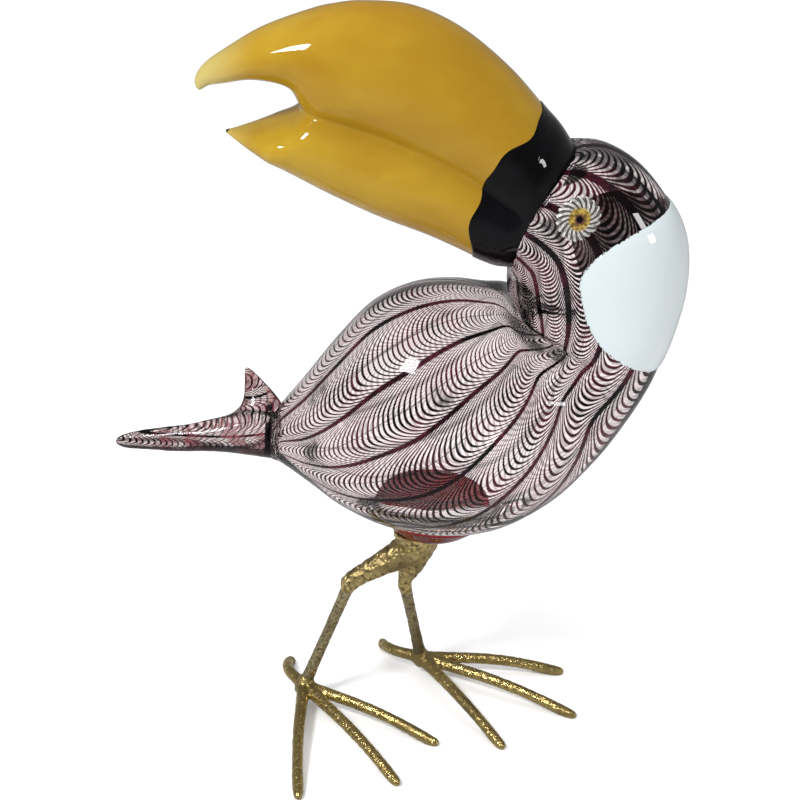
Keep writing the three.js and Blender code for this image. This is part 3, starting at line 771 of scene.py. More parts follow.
# Flow over the fork: v is the length from the root, u the height over the prong's middle, which the
# narrowing of the prong spreads out.
def makeTail():
    prongs = [prongMesh(tail["longProng"], 48, 60), prongMesh(tail["shortProng"], 40, 40)]
    piece = melt("tailFork", prongs, tail["voxel"], tail["polish"], [(swirled, tail["ripple"])])
    local = (vertexPoints(piece.data) - glassOrigin) * 1000
    length = (tail["flowRoot"] - local[:, 0]) / tail["flowLength"]
    spread = (local[:, 2] - tail["flowMiddle"]) / (tail["flowHeight"] - tail["flowNarrowing"] * length)
    vertexUv(piece.data, np.stack([spread * 0.14 + 0.5, length * 0.06], -1))
    return piece


# Threaded glass with wine-dark stains, painted shade along the lower edge where the prong's underside turns
# from the light, and a dark band where the fork is joined on.
# The part of the root that stands inside the bubble is clear.
def tailGlass():
    material, t, shader, place = threadedGlass("tail thread glass", tail)
    xyz = drawnPlace(t, place)
    cloud = t.noise(place, 120.0, 3.0)
    color = t.mix(t.times(t.ramp(cloud, 0.47, 0.62), 0.8), colorSoFar(shader), tail["stain"])
    # painted shade: the prong's lower edge darkened as its shadowed underside
    raggedHeight = t.plus(xyz[2], t.times(cloud, mm(3.0)))
    color = t.mix(t.ramp(raggedHeight, *mm(tail["underShadeTop"]), 0.9, 0.0), color, tail["underShade"])
    ragged = t.plus(xyz[0], t.times(cloud, mm(1.5)))
    inside = t.times(t.ramp(ragged, *mm(tail["rootFrom"])), t.ramp(xyz[2], *mm(tail["rootTop"]), 1.0, 0.0))
    color = t.mix(inside, color, tail["root"])
    band = t.times(t.ramp(ragged, *mm(tail["bandFrom"])), t.minus(1.0, inside))
    band = t.times(band, t.ramp(xyz[2], *mm(tail["bandTop"]), 1.0, 0.0))
    paint(t, shader, t.mix(band, color, tail["band"]))
    return material


finish(makeTail(), ["tail_fork"], "threaded_glass", tailGlass())
print("tail made")

# Beak: two lobes melted together, open at the front
beak = {
    # one section to a line: x and z on the culmen, x and z under the jaw, half width, in mm, then
    # how far down the section the upper lobe reaches and where the lower lobe starts
    "sections": [
        (56, 189.5, 28, 130, 27.6, 0.68, 0.36), (50.5, 195.5, 22.5, 133, 28, 0.68, 0.38),
        (35.5, 213, 2.5, 143, 28.5, 0.67, 0.42), (15.5, 230, -18.5, 151.5, 28, 0.675, 0.47),
        (-4.5, 239.5, -39, 161.5, 26, 0.68, 0.53), (-24.5, 241.5, -55.5, 170.5, 23.5, 0.70, 0.54),
        (-36, 240.3, -61.7, 174.3, 21.7, 0.6, 0.675), (-45.5, 238, -66.5, 177, 19.8, 0.5, 0.74),
        (-65, 231, -76, 183, 15.4, 0.43, 0.875), (-80, 222.5, -82, 187, 10.6, 0.39, 0.965),
        (-89.5, 216, -85.5, 191, 6, 0.36, 1.0), (-94.5, 209, -87.5, 193, 2.8, 0.34, 1.0),
    ],
    "firstRow": 0.6,  # section at which both start, under the collar
    "lowerEnd": 9.1,  # section at which the lower mandible ends
    "upperTip": 0.4,  # stretch over which each tip closes, in sections
    "lowerTip": 0.25,
    "tipLeast": 0.04,
    "lowerWidth": 0.97,  # width of the lower lobe beside the upper, and how much of it goes by the tip
    "lowerTaper": 0.84,
    "taperFrom": 6.6,
    "voxel": 0.0007,
    "polish": 18,
    "around": 96,
    "along": 120,
    "warm": (0.30, 0.170, 0.010, 1),
    "light": (0.40, 0.262, 0.022, 1),
    "haze": (0.285, 0.142, 0.007, 1),
    "tip": (0.45, 0.39, 0.14, 1),
    "tipLength": 0.028,
    "bead": (0.012, 0.014, 0.006, 1),
}
beakTable = np.array(beak["sections"], float)
lastSection = len(beakTable) - 1


# Section of a lobe: the upper one runs from the culmen to its share of the whole section, the lower
# one from its share to the underside. Gives the middle, the half axis down the section, the half width.
def lobeRows(station, upper):
    s = smoothLine(beakTable, station)
    top, bottom = s[..., 0:2], s[..., 2:4]
    share = s[..., 5] if upper else s[..., 6]
    cut = top + (bottom - top) * share[..., None]
    start, end = (top, cut) if upper else (cut, bottom)
    return (start + end) / 2, (end - start) / 2, s[..., 4]


# Lobe: middle + half axis * cos(angle) * close down the section, and half width * narrow * close *
# sin(angle) across, where close falls to the tip as a quarter circle.
def mandibleMesh(upper):
    last = lastSection if upper else beak["lowerEnd"]
    station = np.linspace(beak["firstRow"], last, beak["along"])[:, None]
    angle = np.linspace(0, 2 * math.pi, beak["around"], endpoint=False)[None, :]
    station, angle = np.broadcast_arrays(station, angle)
    centre, half, width = lobeRows(station, upper)
    # the tip closes as a quarter round over the last stretch
    left = np.clip((last - station) / beak["upperTip" if upper else "lowerTip"], 0, 1)
    close = np.maximum(np.sqrt(left * (2 - left)), beak["tipLeast"])
    taper = 1 - beak["lowerTaper"] * smoothStep(station, beak["taperFrom"], beak["lowerEnd"])
    narrow = 1.0 if upper else beak["lowerWidth"] * taper
    flat = centre + half * (np.cos(angle) * close)[..., None]
    return tubeMesh("mandible", onGlass(flat[..., 0], flat[..., 1], width * narrow * close * np.sin(angle)))


# Middle of the lower mandible's tip, as drawn
tipRow = smoothLine(beakTable, beak["lowerEnd"] - 0.08)
lowerTip = tipRow[..., 0:2] + (tipRow[..., 2:4] - tipRow[..., 0:2]) * (tipRow[..., 6:7] + 1) / 2
lowerTip = tuple(float(c) for c in lowerTip.ravel())


def makeBeak():
    return melt("openBeak", [mandibleMesh(True), mandibleMesh(False)], beak["voxel"], beak["polish"])


def beakGlass():
    material, t, shader, place = newMaterial("mustard glass", **{
        "Roughness": 0.06, "IOR": 1.45, "Coat Weight": 0.15, "Coat Roughness": 0.02,
        "Specular IOR Level": 0.35, "Subsurface Weight": 0.1, "Subsurface Scale": 0.006,
    })
    shader.inputs["Subsurface Radius"].default_value = (1.0, 0.6, 0.15)
    flow = placed(t, streakGroup, Place=place, Scale=28.0, Stretch=(0.5, 1.0, 0.8))
    tipX = float(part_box("beak")[0].x)
    tipShare = t.ramp(t.parts(place)[0], tipX + beak["tipLength"], tipX)
    warm = t.mix(flow["Streaks"], beak["warm"], beak["light"])
    warm = t.mix(t.times(flow["Haze"], 0.7), warm, beak["haze"])
    color = t.mix(t.times(tipShare, 0.8), warm, beak["tip"])
    # dark bead of glass where the lower mandible was snapped off
    tip = tuple(float(c) for c in onGlass(*lowerTip))
    away = t.vector("DISTANCE", place, tip)["Value"]
    paint(t, shader, t.mix(t.ramp(away, 0.0014, 0.0026, 1.0, 0.0), color, beak["bead"]))
    t.link(t.ramp(flow["Haze"], 0.0, 1.0, 0.04, 0.09), shader.inputs["Roughness"])
    return material


finish(makeBeak(), ["beak"], "yellow_glass", beakGlass())
print("beak made")

collar = {
    "lap": 0.45,  # stands proud of the beak by this, in mm
    "around": 220,
    "along": 70,
    "meet": 0.5,  # share of the rows at which it reaches the beak
    # front edge, in beak sections: at top and bottom, more at the sides, and its wave
    "frontTop": 1.18,
    "frontSide": 0.6,
    "wave": 0.055,
    "fullness": 0.7,  # how far it swells between head and beak, in mm
    "headShare": 0.965,  # size of its first row beside the head's rim
    "rimShare": 0.06,  # share of the rows over which its free edge rounds off
    "black": (0.0006, 0.0006, 0.0008, 1),
    "sheen": (0.003, 0.0025, 0.0035, 1),
}


# Radius of an ellipse along a ray from a point on its long axis: positive root of the ellipse
# equation ((offset + r cos) / a)^2 + (r sin / w)^2 = 1.
def rayToEllipse(offset, a, w, angle):
    c, s = np.cos(angle), np.sin(angle)
    qa = (c / a) ** 2 + (s / w) ** 2
    qb = 2 * offset * c / a**2
    qc = (offset / a) ** 2 - 1
    return (-qb + np.sqrt(np.maximum(qb**2 - 4 * qa * qc, 0))) / (2 * qa)


# Outline of the joined lobes in one section: the larger of the two radii, softened where they cross.
def joinedRadius(station, angle):
    s = smoothLine(beakTable, station)
    halfLength = np.linalg.norm(s[..., 2:4] - s[..., 0:2], axis=-1) / 2
    upperA = halfLength * s[..., 5]
    lowerA = halfLength * (1 - s[..., 6])
    up = rayToEllipse(halfLength - upperA, upperA, s[..., 4], angle)
    down = rayToEllipse(-(halfLength - lowerA), lowerA, s[..., 4] * beak["lowerWidth"], angle)
    softness = 1.2
    return softness * np.logaddexp(up / softness, down / softness)


# The collar leaves the bubble's last ring, meets the beak's section 1 half way along its rows, and
# runs on over the beak to a wavy edge: section top + side * sin(angle)^2 + wave * two sines of angle.
def makeCollar():
    angle = np.linspace(0, 2 * math.pi, collar["around"], endpoint=False)[None, :]
    share = np.linspace(0, 1, collar["along"])[:, None]
    share, angle = np.broadcast_arrays(share, angle)
    head = ringTable[-1]
    headMiddle, headHalf = (head[2:4] + head[0:2]) / 2, (head[2:4] - head[0:2]) / 2
    headPoint = headMiddle + headHalf * np.cos(angle)[..., None] * collar["headShare"]
    headPoint = headPoint + (np.sin(angle) ** 2 * bubble["rimReach"])[..., None] * beakward
    headAcross = head[4] * np.sin(angle) * collar["headShare"]
    waves = collar["wave"] * (np.sin(6 * angle + 2.2) + 0.5 * np.sin(11 * angle))
    edge = collar["frontTop"] + collar["frontSide"] * np.sin(angle) ** 2 + waves
    onBeak = np.clip((share - collar["meet"]) / (1 - collar["meet"]), 0, 1)
    station = 1 + (edge - 1) * onBeak
    front = smoothLine(beakTable, station)
    frontTop, frontBottom = front[..., 0:2], front[..., 2:4]
    frontUp = (frontTop - frontBottom) / 2
    frontUp /= np.linalg.norm(frontUp, axis=-1, keepdims=True)
    rim = np.sqrt(np.clip((1 - share) / collar["rimShare"], 0, 1))
    radius = joinedRadius(station, math.pi - angle) + collar["lap"] * (2 * rim - 1)
    frontPoint = (frontTop + frontBottom) / 2 + frontUp * (radius * np.cos(angle))[..., None]
    frontAcross = radius * np.sin(angle)
    blend = np.clip(share / collar["meet"], 0, 1)
    blend = smoothStep(blend, 0, 1) * 0.35 + blend * 0.65
    flat = headPoint + (frontPoint - headPoint) * blend[..., None]
    across = headAcross + (frontAcross - headAcross) * blend
    middle = headMiddle + ((frontTop + frontBottom) / 2 - headMiddle) * blend[..., None]
    swell = 1 + collar["fullness"] / 30 * np.sin(math.pi * np.clip(share / collar["meet"], 0, 1)) ** 2
    flat = middle + (flat - middle) * swell[..., None]
    across = across * swell
    return asObject("blackCollar", tubeMesh("blackCollar", onGlass(flat[..., 0], flat[..., 1], across)))


def collarGlass():
    material, t, shader, place = newMaterial("black glass", **{
        "Roughness": 0.02, "IOR": 1.45, "Specular IOR Level": 0.22,
    })
    flow = placed(t, streakGroup, Place=place, Scale=40.0, Stretch=(1.0, 0.5, 1.0))
    paint(t, shader, t.mix(flow["Streaks"], collar["black"], collar["sheen"]))
    t.link(t.ramp(flow["Haze"], 0.0, 1.0, 0.01, 0.03), shader.inputs["Roughness"])
    return material


blackGlass = collarGlass()
finish(makeCollar(), ["beak_collar"], "black_glass", blackGlass)
print("collar made")


patch = {
    "station": 12.1, "stations": 1.95, "lowerStations": 1.72, "angle": 103.0, "sweep": 0.9,
    "thickness": 1.4, "fray": 0.005,
    "rings": 40, "around": 200,
    # how square the outline is, and how far its upper and lower edges lean out at the sides
    "sideRound": 0.9, "upperRound": 0.78, "lowerRound": 0.66, "upperLean": 0.42, "lowerLean": 0.62,
    "rimLift": 0.12, "clearance": 0.05,
    "shade": (0.51, 0.555, 0.57, 1),
    "white": (0.60, 0.65, 0.665, 1),
    "rim": (0.012, 0.008, 0.01, 1),
}


# Shell laid on the bubble: its outside is the bubble's point plus the normal times the lift, its
# inside the point plus the normal times a small clearance. Rows run out to the rim and back.
def laidOn(name, place, lift, clearance, shares, around):
    turn = np.linspace(0, 2 * math.pi, around, endpoint=False)[None, :]
    share = np.asarray(shares)[:, None]
    share, turn = np.broadcast_arrays(share, turn)
    station, angle = place(share, turn)
    base = bubblePoint(station, angle)
    step = 0.01
    alongBody = bubblePoint(station + step, angle) - bubblePoint(station - step, angle)
    roundRing = bubblePoint(station, angle + step) - bubblePoint(station, angle - step)
    normal = np.cross(roundRing, alongBody)
    normal /= np.linalg.norm(normal, axis=-1, keepdims=True)
    inside = bubblePoint(station, angle, 2.0)
    normal *= np.sign(((base - inside) * normal).sum(-1, keepdims=True))
    top = base + normal * mm(lift(share, turn))[..., None]
    under = base + normal * mm(clearance)
    rows = np.concatenate([top, under[::-1]])
    flat = np.stack([share * np.cos(turn), share * np.sin(turn)], -1) * 0.5 + 0.5
    mesh = tubeMesh(name, rows)
    polar = np.concatenate([flat, flat[::-1]]).reshape(-1, 2)
    polar = np.vstack([polar, [[0.5, 0.5], [0.5, 0.5]]])
    vertexUv(mesh, polar)
    return asObject(name, mesh)


# Where a point of the patch lies on the bubble: a rounded square, with station = middle + rise and
# angle = wrap, whose sides are swept along the neck by sweep * wrap^2.
def patchPlace(share, turn):
    fray = 1 + patch["fray"] * waver(turn * 9, turn * 4, 1.3) * share**6
    c, n = np.cos(turn), np.sin(turn)
    wrap = share * np.sign(c) * np.abs(c) ** patch["sideRound"] * fray
    lean = np.where(n > 0, patch["upperLean"], patch["lowerLean"])
    power = np.where(n > 0, patch["upperRound"], patch["lowerRound"])
    rise = share * np.sign(n) * np.abs(n) ** power * fray * (1 + lean * wrap**2)
    reach = np.where(n > 0, patch["stations"], patch["lowerStations"])
    station = patch["station"] + reach * rise + patch["sweep"] * wrap**2
    return station, np.radians(patch["angle"]) * wrap


# Height of a laid-on disc over the bubble: rim + dome * sqrt(1 - share^power), and flutes that run
# out to the rim as a cosine of the turn.
def domeLift(rim, dome, power, lobes=0, flute=0.0):
    def lift(share, turn):
        fluting = flute * np.cos(lobes * turn) * share**2 * (1 - share**8)
        return rim + dome * np.sqrt(np.clip(1 - share**power, 0, 1)) + fluting
    return lift


# Rings of the patch lie closer together towards its rim, as the sine of their number.
def makePatch():
    shares = np.sin(np.linspace(0.02, 1, patch["rings"]) * math.pi / 2)
    lift = domeLift(patch["rimLift"], patch["thickness"], 6)
    return laidOn("napePatch", patchPlace, lift, patch["clearance"], shares, patch["around"])


# Flow coordinates of a laid-on piece, moved to its middle, and the distance from there, half at its rim.
def discPlace(t):
    uv = t.node("ShaderNodeUVMap", uv_map="flow").outputs[0]
    centred = t.vector("ADD", uv, (-0.5, -0.5, 0))[0]
    return centred, t.vector("LENGTH", centred)["Value"]


# Angle round the middle, from the flow coordinates.
def turnOf(t, centred):
    xy = t.parts(centred)
    return t.math("ARCTAN2", xy[1], xy[0])


def patchGlass():
    material, t, shader, place = newMaterial("white glass", **{
        "Roughness": 0.05, "IOR": 1.5, "Coat Weight": 0.5, "Coat Roughness": 0.02,
        "Subsurface Weight": 0.1, "Subsurface Scale": 0.004,
    })
    flow = placed(t, streakGroup, Place=place, Scale=20.0, Stretch=(1.0, 1.0, 0.6))
    white = t.mix(flow["Haze"], patch["shade"], patch["white"])
    radius = discPlace(t)[1]
    # dark hairs drawn in from the rim: a fine noise lets the rim's darkness reach in here and there
    hairs = t.ramp(t.noise(place, 1100.0, 1.0), 0.45, 0.75, 0.0, 0.007)
    rim = t.ramp(t.plus(radius, hairs), 0.4975, 0.502)
    paint(t, shader, t.mix(rim, white, patch["rim"]))
    return material


finish(makePatch(), ["nape_patch"], "white_glass", patchGlass())
print("patch made")

eyes = {
    "station": 15.77, "angle": 74.0,
    "rosette": 9.3, "iris": 5.9, "pupil": 1.7,  # radii
    "lobes": 18, "lobeDepth": 0.05,
    "teeth": 22.0,
    # rim height, dome and its power, and height of the underside, all over the bubble, in mm
    "rosetteDome": (0.4, 1.9, 4, 0.05),
    "irisDome": (1.7, 0.75, 3, 1.2),
    "pupilDome": (2.0, 0.75, 2, 1.8),
    "flute": 0.16,
    "clear": (0.06, 0.05, 0.048, 1),
    "white": (0.64, 0.64, 0.61, 1),
    "rosetteRim": (0.8, 0.8, 0.78, 1),
    "amber": (0.11, 0.06, 0.01, 1),
    "gold": (0.36, 0.25, 0.045, 1),
    "toothed": (0.03, 0.015, 0.01, 1),
    "core": (0.09, 0.02, 0.02, 1),
}


# Steps on the bubble from the eye's middle: millimetres to stations and radians by the local scale.
def eyePlace(side, radius, lobes=0, lobeDepth=0.0):
    angle0 = side * math.radians(eyes["angle"])
    here = bubblePoint(eyes["station"], angle0)
    step = 0.05
    alongBody = bubblePoint(eyes["station"] + step, angle0) - here
    roundRing = bubblePoint(eyes["station"], angle0 + step) - here
    perStation = np.linalg.norm(alongBody) / step * 1000
    perRadian = np.linalg.norm(roundRing) / step * 1000
    skew = float(np.dot(alongBody, roundRing) / np.linalg.norm(alongBody) / np.linalg.norm(roundRing))
    square = math.sqrt(1 - skew**2)

    def place(share, turn):
        reach = radius * share * (1 + lobeDepth * share**3 * np.cos(lobes * turn))
        across = reach * np.sin(turn) / square
        station = eyes["station"] + (reach * np.cos(turn) - across * skew) / perStation
        return station, angle0 + across / perRadian
    return place


def rosetteGlass():
    material, t, shader, place = newMaterial("crimped eye glass", **{
        "Roughness": 0.06, "IOR": 1.5, "Coat Weight": 0.8, "Coat Roughness": 0.02,
    })
    centred, radius = discPlace(t)
    turn = turnOf(t, centred)
    swirl = t.plus(turn, t.times(radius, 1.6))
    rays = t.math("SINE", t.times(swirl, float(eyes["lobes"])))
    fineRays = t.math("SINE", t.times(swirl, float(eyes["lobes"]) * 3.0))
    grain = t.noise(place, 700.0, 3.0)
    level = t.plus(t.plus(rays, t.times(fineRays, 0.7)), t.times(grain, 2.4))
    color = t.mix(t.ramp(level, 1.1, 2.7), eyes["clear"], eyes["white"])
    rim = t.times(t.ramp(radius, 0.42, 0.5), 0.15)
    paint(t, shader, t.mix(rim, color, eyes["rosetteRim"]))
    return material


def irisGlass():
    material, t, shader, place = newMaterial("amber eye glass", **{
        "Roughness": 0.08, "IOR": 1.5, "Coat Weight": 0.8, "Coat Roughness": 0.02,
    })
    centred, radius = discPlace(t)
    turn = turnOf(t, centred)
    teeth = t.times(t.math("SINE", t.times(turn, eyes["teeth"])), 0.03)
    grain = t.noise(place, 900.0, 3.0)
    dark = t.ramp(t.plus(radius, teeth), 0.40, 0.45)
    core = t.ramp(t.plus(radius, t.times(grain, 0.2)), 0.24, 0.31, 1.0, 0.0)
    speckle = t.ramp(t.noise(place, 650.0, 2.0), 0.42, 0.62)
    color = t.mix(dark, t.mix(speckle, eyes["amber"], eyes["gold"]), eyes["toothed"])
    paint(t, shader, t.mix(core, color, eyes["core"]))
    return material


# One disc of an eye, domed and laid on the bubble.
def makeDisc(side, sign, kind, around, lobes=0, lobeDepth=0.0, flute=0.0):
    rim, dome, power, underside = eyes[kind + "Dome"]
    shares = np.sin(np.linspace(0.03, 1, 22) * math.pi / 2)
    return laidOn(side + "Eye" + kind.capitalize(), eyePlace(sign, eyes[kind], lobes, lobeDepth),
                  domeLift(rim, dome, power, lobes, flute), underside, shares, around)


rosetteMaterial, irisMaterial = rosetteGlass(), irisGlass()
for side, sign in (("left", -1), ("right", 1)):
    rosette = makeDisc(side, sign, "rosette", 216, eyes["lobes"], eyes["lobeDepth"], eyes["flute"])
    finish(rosette, [side + "_eye_rosette"], "clear_glass", rosetteMaterial)
    finish(makeDisc(side, sign, "iris", 96), [side + "_eye_iris"], "amber_glass", irisMaterial)
    finish(makeDisc(side, sign, "pupil", 48), [side + "_eye_pupil"], "black_glass", blackGlass)
print("eyes made")

pad = {
    "centre": (5.0, 0.0), "radius": 24.5, "seat": 12.5, "depth": 4.2, "around": 128, "rings": 24,
    # gaps under the belly, in mm: over the top, at the rim of the underside, and at its edge
    "topGap": 0.12, "rimGap": 0.9, "edgeGap": 0.5, "edgeRound": 1.1,
    # painted shade for the underside and painted light for the top, each with a hazier tone
    "paintedShadeBelow": (0.06, 0.0008, 0.003, 1),
    "paintedShadeBelowHaze": (0.10, 0.0015, 0.005, 1),
    "paintedLightAbove": (0.20, 0.004, 0.012, 1),
    "paintedLightAboveHaze": (0.28, 0.007, 0.016, 1),
}


# Height of the belly over a point of the pad: a polynomial in x and y, fitted by least squares to the
# points of the bubble near the pad.
def bellyHeight(x, y):
    station = np.linspace(3, 8, 160)[:, None]
    angle = np.linspace(-1.0, 1.0, 121)[None, :]
    points = (bubblePoint(station, angle) - glassOrigin) * 1000
    # z = c0 + c1 x + c2 y^2 + c3 x^2 + c4 x^3 + c5 x y^2 + c6 y^4 + c7 x^4
    px, py, pz = points[..., 0].ravel(), points[..., 1].ravel(), points[..., 2].ravel()
    near = (px - pad["centre"][0]) ** 2 + py**2 < 34**2
    near &= pz < 30
    def terms(a, b):
        return np.stack([np.ones_like(a), a, b**2, a**2, a**3, a * b**2, b**4, a**4], -1)

    fit = np.linalg.lstsq(terms(px[near], py[near]), pz[near], rcond=None)[0]
    return terms(x, y) @ fit


# Round pad: its top follows the belly, its underside is a flat seat that rises by rise^1.3 to a rim.
def makePad():
    turn = np.linspace(0, 2 * math.pi, pad["around"], endpoint=False)[None, :]
    cx, cy = pad["centre"]
    share = np.linspace(0.02, 1, pad["rings"])[:, None]
    share, turn = np.broadcast_arrays(share, turn)
    r = pad["radius"] * share
    x, y = cx + r * np.cos(turn), cy + r * np.sin(turn)
    belly = bellyHeight(x, y)
    top = onGlass(x, belly - pad["topGap"], y)
    # underside: flat seat, then a rise to a rim that stands a little under the belly
    rise = smoothStep(share, pad["seat"] / pad["radius"] * 0.85, 1.02)
    under = -pad["depth"] + (belly - pad["rimGap"] + pad["depth"]) * rise**1.3
    edge = pad["edgeRound"] * np.sqrt(np.clip(1 - share**8, 0, 1))
    under = np.minimum(under, belly - pad["edgeGap"] - edge)
    bottom = onGlass(x, under, y)
    return asObject("footPad", tubeMesh("footPad", np.concatenate([top, bottom[::-1]])))


def padGlass():
    material, t, shader, place = newMaterial("ruby glass", **{
        "Roughness": 0.04, "IOR": 1.5, "Transmission Weight": 0.02, "Metallic": 0.0,
    })
    flow = placed(t, streakGroup, Place=place, Scale=60.0)
    # painted light and shade by facing: the top, turned up to the bubble, is painted a lit red as if light
    # glowed through, the underside a dark red as its shade
    facing = t.parts(t.node("ShaderNodeNewGeometry").outputs["Normal"])[2]
    paintedShadeBelow = t.mix(flow["Haze"], pad["paintedShadeBelow"], pad["paintedShadeBelowHaze"])
    paintedLightAbove = t.mix(flow["Haze"], pad["paintedLightAbove"], pad["paintedLightAboveHaze"])
    paint(t, shader, t.mix(t.ramp(facing, -0.2, 0.2), paintedShadeBelow, paintedLightAbove))
    return material


finish(makePad(), ["foot_pad"], "red_glass", padGlass())
print("pad made")

legs = {
    "seat": (-2.0, 0.0), "seatRadius": 11.0, "stump": 17.0, "padDrop": 4.2,
    "kneeRadius": 4.4, "kneeLength": 5.6, "shankRadius": 2.7, "ankleHeight": 7.5,
    "toeRadius": 2.7, "toeHeight": 7.6, "tipHeight": 1.6, "flatFrom": 0.93,
    # places along a toe as shares of its length, and its thickness there
    "toeShares": (0.0, 0.12, 0.24, 0.36, 0.48, 0.6, 0.7, 0.8, 0.88, 0.94, 0.98, 1.0),
    "toeTaper": (1.25, 1.08, 1.0, 0.98, 0.96, 0.94, 0.92, 0.93, 0.94, 0.88, 0.68, 0.2),
    "bossPlaces": (-3.6, 0.0, 3.0, 6.0),  # along the shank from the ankle, and the radius there
    "bossRadii": (3.4, 4.4, 3.9, 2.9),
    "shankTaper": (1.06, 0.98, 1.0, 1.12),
    "voxel": 0.00055, "castingVoxel": 0.00048,
    "footRelief": 0.0003, "shankRelief": 0.00025, "castingRelief": 0.0004, "featherRelief": 0.0009,
    # knee: x, y and how far under the pad; ankle: x and y; toe: heading, length and curl, in degrees and mm
    "right": {"knee": (-32.5, -4, 25.5), "ankle": (-55.4, -4.3),
              "toes": ((-29, 73, -5), (-55, 80, -3), (-92, 76, 10), (122, 33, -80))},
    "left": {"knee": (-8, 6, 33), "ankle": (0.1, 18.5),
             "toes": ((-60, 73, 4), (-27, 82, -4), (0, 69, -10), (154, 32, -105))},
}
standHeight = (glassOrigin[2] - cadBounds[0][2]) * 1000 - legs["padDrop"]


# Plan point of the legs, with z above the ground, in mm, as a point of the frame.
def onGround(points):
    p = np.asarray(points, float)
    return np.stack([mm(p[..., 0]) + glassOrigin[0], mm(p[..., 1]) + glassOrigin[1],
                     mm(p[..., 2]) + float(cadBounds[0][2])], -1)


# Bar along a smooth path: each row is a circle in the plane across the path, its radius carried
# along as a fourth value and swelled a little by wavering lumps.
def barMesh(path, radii, around, along, rough, seed):
    line = np.concatenate([np.asarray(path, float), np.asarray(radii, float)[:, None]], axis=1)
    t = np.linspace(0, len(line) - 1, along)
    row = smoothLine(line, t)
    centre, radius = row[:, :3], row[:, 3]
    tangent = np.gradient(centre, axis=0)
    tangent /= np.linalg.norm(tangent, axis=1, keepdims=True)
    steep = np.abs(tangent[:, 2]).mean() > 0.6
    side = np.cross(tangent, (0.0, 1.0, 0.0) if steep else (0.0, 0.0, 1.0))
    side /= np.linalg.norm(side, axis=1, keepdims=True)
    lift = np.cross(side, tangent)
    angle = np.linspace(0, 2 * math.pi, around, endpoint=False)
    swell = 1 + rough * waver(t[:, None] * 9, angle[None, :] * 2, seed)
    c, s = np.cos(angle)[None, :, None], np.sin(angle)[None, :, None]
    size = (radius[:, None] * swell)[..., None]
    return tubeMesh("bar", onGround(centre[:, None] + size * (c * side[:, None] + s * lift[:, None])))


def kneeOf(leg):
    x, y, drop = leg["knee"]
    return np.array([x, y, standHeight - drop])


def ankleOf(leg):
    return np.array([*leg["ankle"], legs["ankleHeight"]])


# Toe from the ankle out: it keeps its heading, turning by its curl past a third of its length, and
# comes down as a quarter cosine to lie flat near the tip.
def toePath(leg, toe):
    heading, length, curl = toe
    shares = np.array(legs["toeShares"])
    angle = np.radians(heading + curl * np.clip(shares - 0.35, 0, None))
    step = np.diff(shares, prepend=0) * length
    x = leg["ankle"][0] + np.cumsum(step * np.cos(angle))
    y = leg["ankle"][1] + np.cumsum(step * np.sin(angle))
    fall = np.minimum(1, shares / legs["flatFrom"]) ** 1.7
    z = legs["tipHeight"] + (legs["toeHeight"] - legs["tipHeight"]) * np.cos(math.pi / 2 * fall)
    return np.stack([x, y, z], -1), legs["toeRadius"] * np.array(legs["toeTaper"])


def reliefTexture(name, kind, size):
    texture = bpy.data.textures.new(name, kind)
    texture.noise_scale = size
    return texture


hammered = reliefTexture("hammered", "CLOUDS", 0.0035)
feathered = reliefTexture("feathered", "VORONOI", 0.002)


# Four toes and the boss round the ankle, melted together.
def makeFoot(name, leg, seed):
    ankle = ankleOf(leg)
    up = kneeOf(leg) - ankle
    up /= np.linalg.norm(up)
    bars = []
    for number, toe in enumerate(leg["toes"]):
        path, radii = toePath(leg, toe)
        bars.append(barMesh(path, radii, 20, 90, 0.05, seed + number))
    boss = ankle + up * np.array(legs["bossPlaces"])[:, None]
    bars.append(barMesh(boss, legs["bossRadii"], 24, 24, 0.05, seed + 9))
    return melt(name, bars, legs["voxel"], 3, [(hammered, legs["footRelief"])])


# Straight bar from under the knee to just above the ankle.
def makeShank(name, leg, seed):
    knee, ankle = kneeOf(leg), ankleOf(leg)
    down = ankle - knee
    length = np.linalg.norm(down)
    down /= length
    stops = np.array([legs["kneeLength"] - 1, length * 0.35, length * 0.7, length - 3.5])
    path = knee + down * stops[:, None]
    radii = legs["shankRadius"] * np.array(legs["shankTaper"])
    bar = barMesh(path, radii, 24, 70, 0.045, seed)
    return melt(name, [bar], legs["voxel"], 2, [(hammered, legs["shankRelief"])])


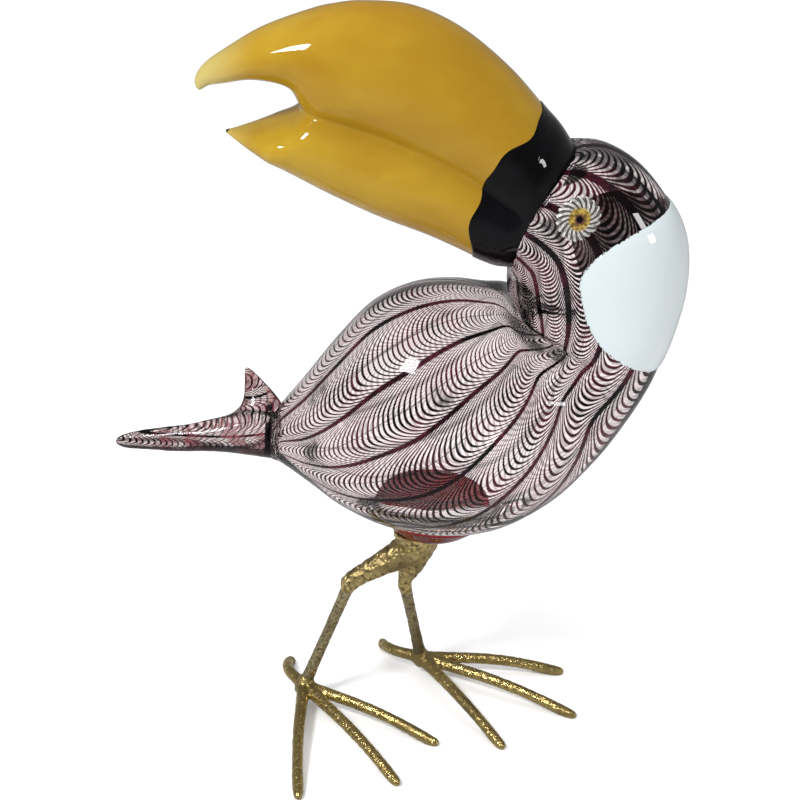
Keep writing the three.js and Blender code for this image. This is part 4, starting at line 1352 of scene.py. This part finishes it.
# Stump under the pad that parts into two thighs, each bent over its knee, melted together.
def makeCasting():
    x, y = legs["seat"]
    top = standHeight - 0.15
    stump = [(x, y, top), (x, y, top - 4), (x - 0.4, y, top - 9), (x - 2, y, top - legs["stump"])]
    bars = [barMesh(stump, [legs["seatRadius"], 10.4, 8.6, legs["kneeRadius"] + 0.6], 40, 40, 0.03, 3)]
    for seed, key in ((1, "right"), (5, "left")):
        leg = legs[key]
        knee = kneeOf(leg)
        down = ankleOf(leg) - knee
        down /= np.linalg.norm(down)
        hip = np.array([x, y, top - legs["stump"] / 2])
        path = [hip, hip + (knee - hip) * 0.5, knee - (knee - hip) * 0.12, knee + down * 1.5,
                knee + down * legs["kneeLength"]]
        knob = legs["kneeRadius"] - (0.3 if key == "right" else 1.2)
        radii = [legs["seatRadius"] - 2.8, knob + (1.6 if key == "right" else 2.8), knob + 0.2, knob,
                 legs["shankRadius"] + 0.2]
        bars.append(barMesh(path, radii, 30, 50, 0.05, seed))
    relief = [(hammered, legs["castingRelief"]), (feathered, legs["featherRelief"])]
    return melt("thighCasting", bars, legs["castingVoxel"], 4, relief)


brassKinds = {
    # lumps to a metre, share of patina, tone
    "feathered brass": (560.0, 0.85, (0.90, 0.70, 0.30, 1)),
    "shank brass": (900.0, 0.8, (0.62, 0.53, 0.31, 1)),
    "foot brass": (900.0, 0.65, (0.82, 0.62, 0.23, 1)),
}
brassSparkle = (0.95, 0.80, 0.44, 1)
brassPatina = (0.055, 0.032, 0.014, 1)


def brass(name):
    lumps, patinaShare, tone = brassKinds[name]
    material, t, shader, place = newMaterial(name, **{"Metallic": 1.0, "Roughness": 0.32})
    cast = placed(t, castGroup, Place=place, Lumps=lumps, Grain=1500.0, Patina=patinaShare)
    paint(t, shader, t.mix(cast["Patina"], t.mix(cast["Sparkle"], tone, brassSparkle), brassPatina))
    t.link(t.ramp(cast["Patina"], 0.0, 1.0, 0.2, 0.5), shader.inputs["Roughness"])
    bump = t.node("ShaderNodeBump", {"Height": cast["Height"], "Strength": 0.9, "Distance": 0.0006})
    t.link(bump.outputs[0], shader.inputs["Normal"])
    return material


castingBrass, shankBrass, footBrass = map(brass, brassKinds)
finish(makeCasting(), ["thigh_casting"], "gilt_brass", castingBrass)
for seed, key in ((2, "right"), (7, "left")):
    leg = legs[key]
    finish(makeShank(key + "Shank", leg, seed), [key + "_shank"], "gilt_brass", shankBrass)
    footNodes = [key + "_foot_hub"] + [key + "_" + toe + "_toe" for toe in
                                       ("inner_front", "middle_front", "outer_front", "hind")]
    finish(makeFoot(key + "Foot", leg, seed), footNodes, "gilt_brass", footBrass)
print("legs made")
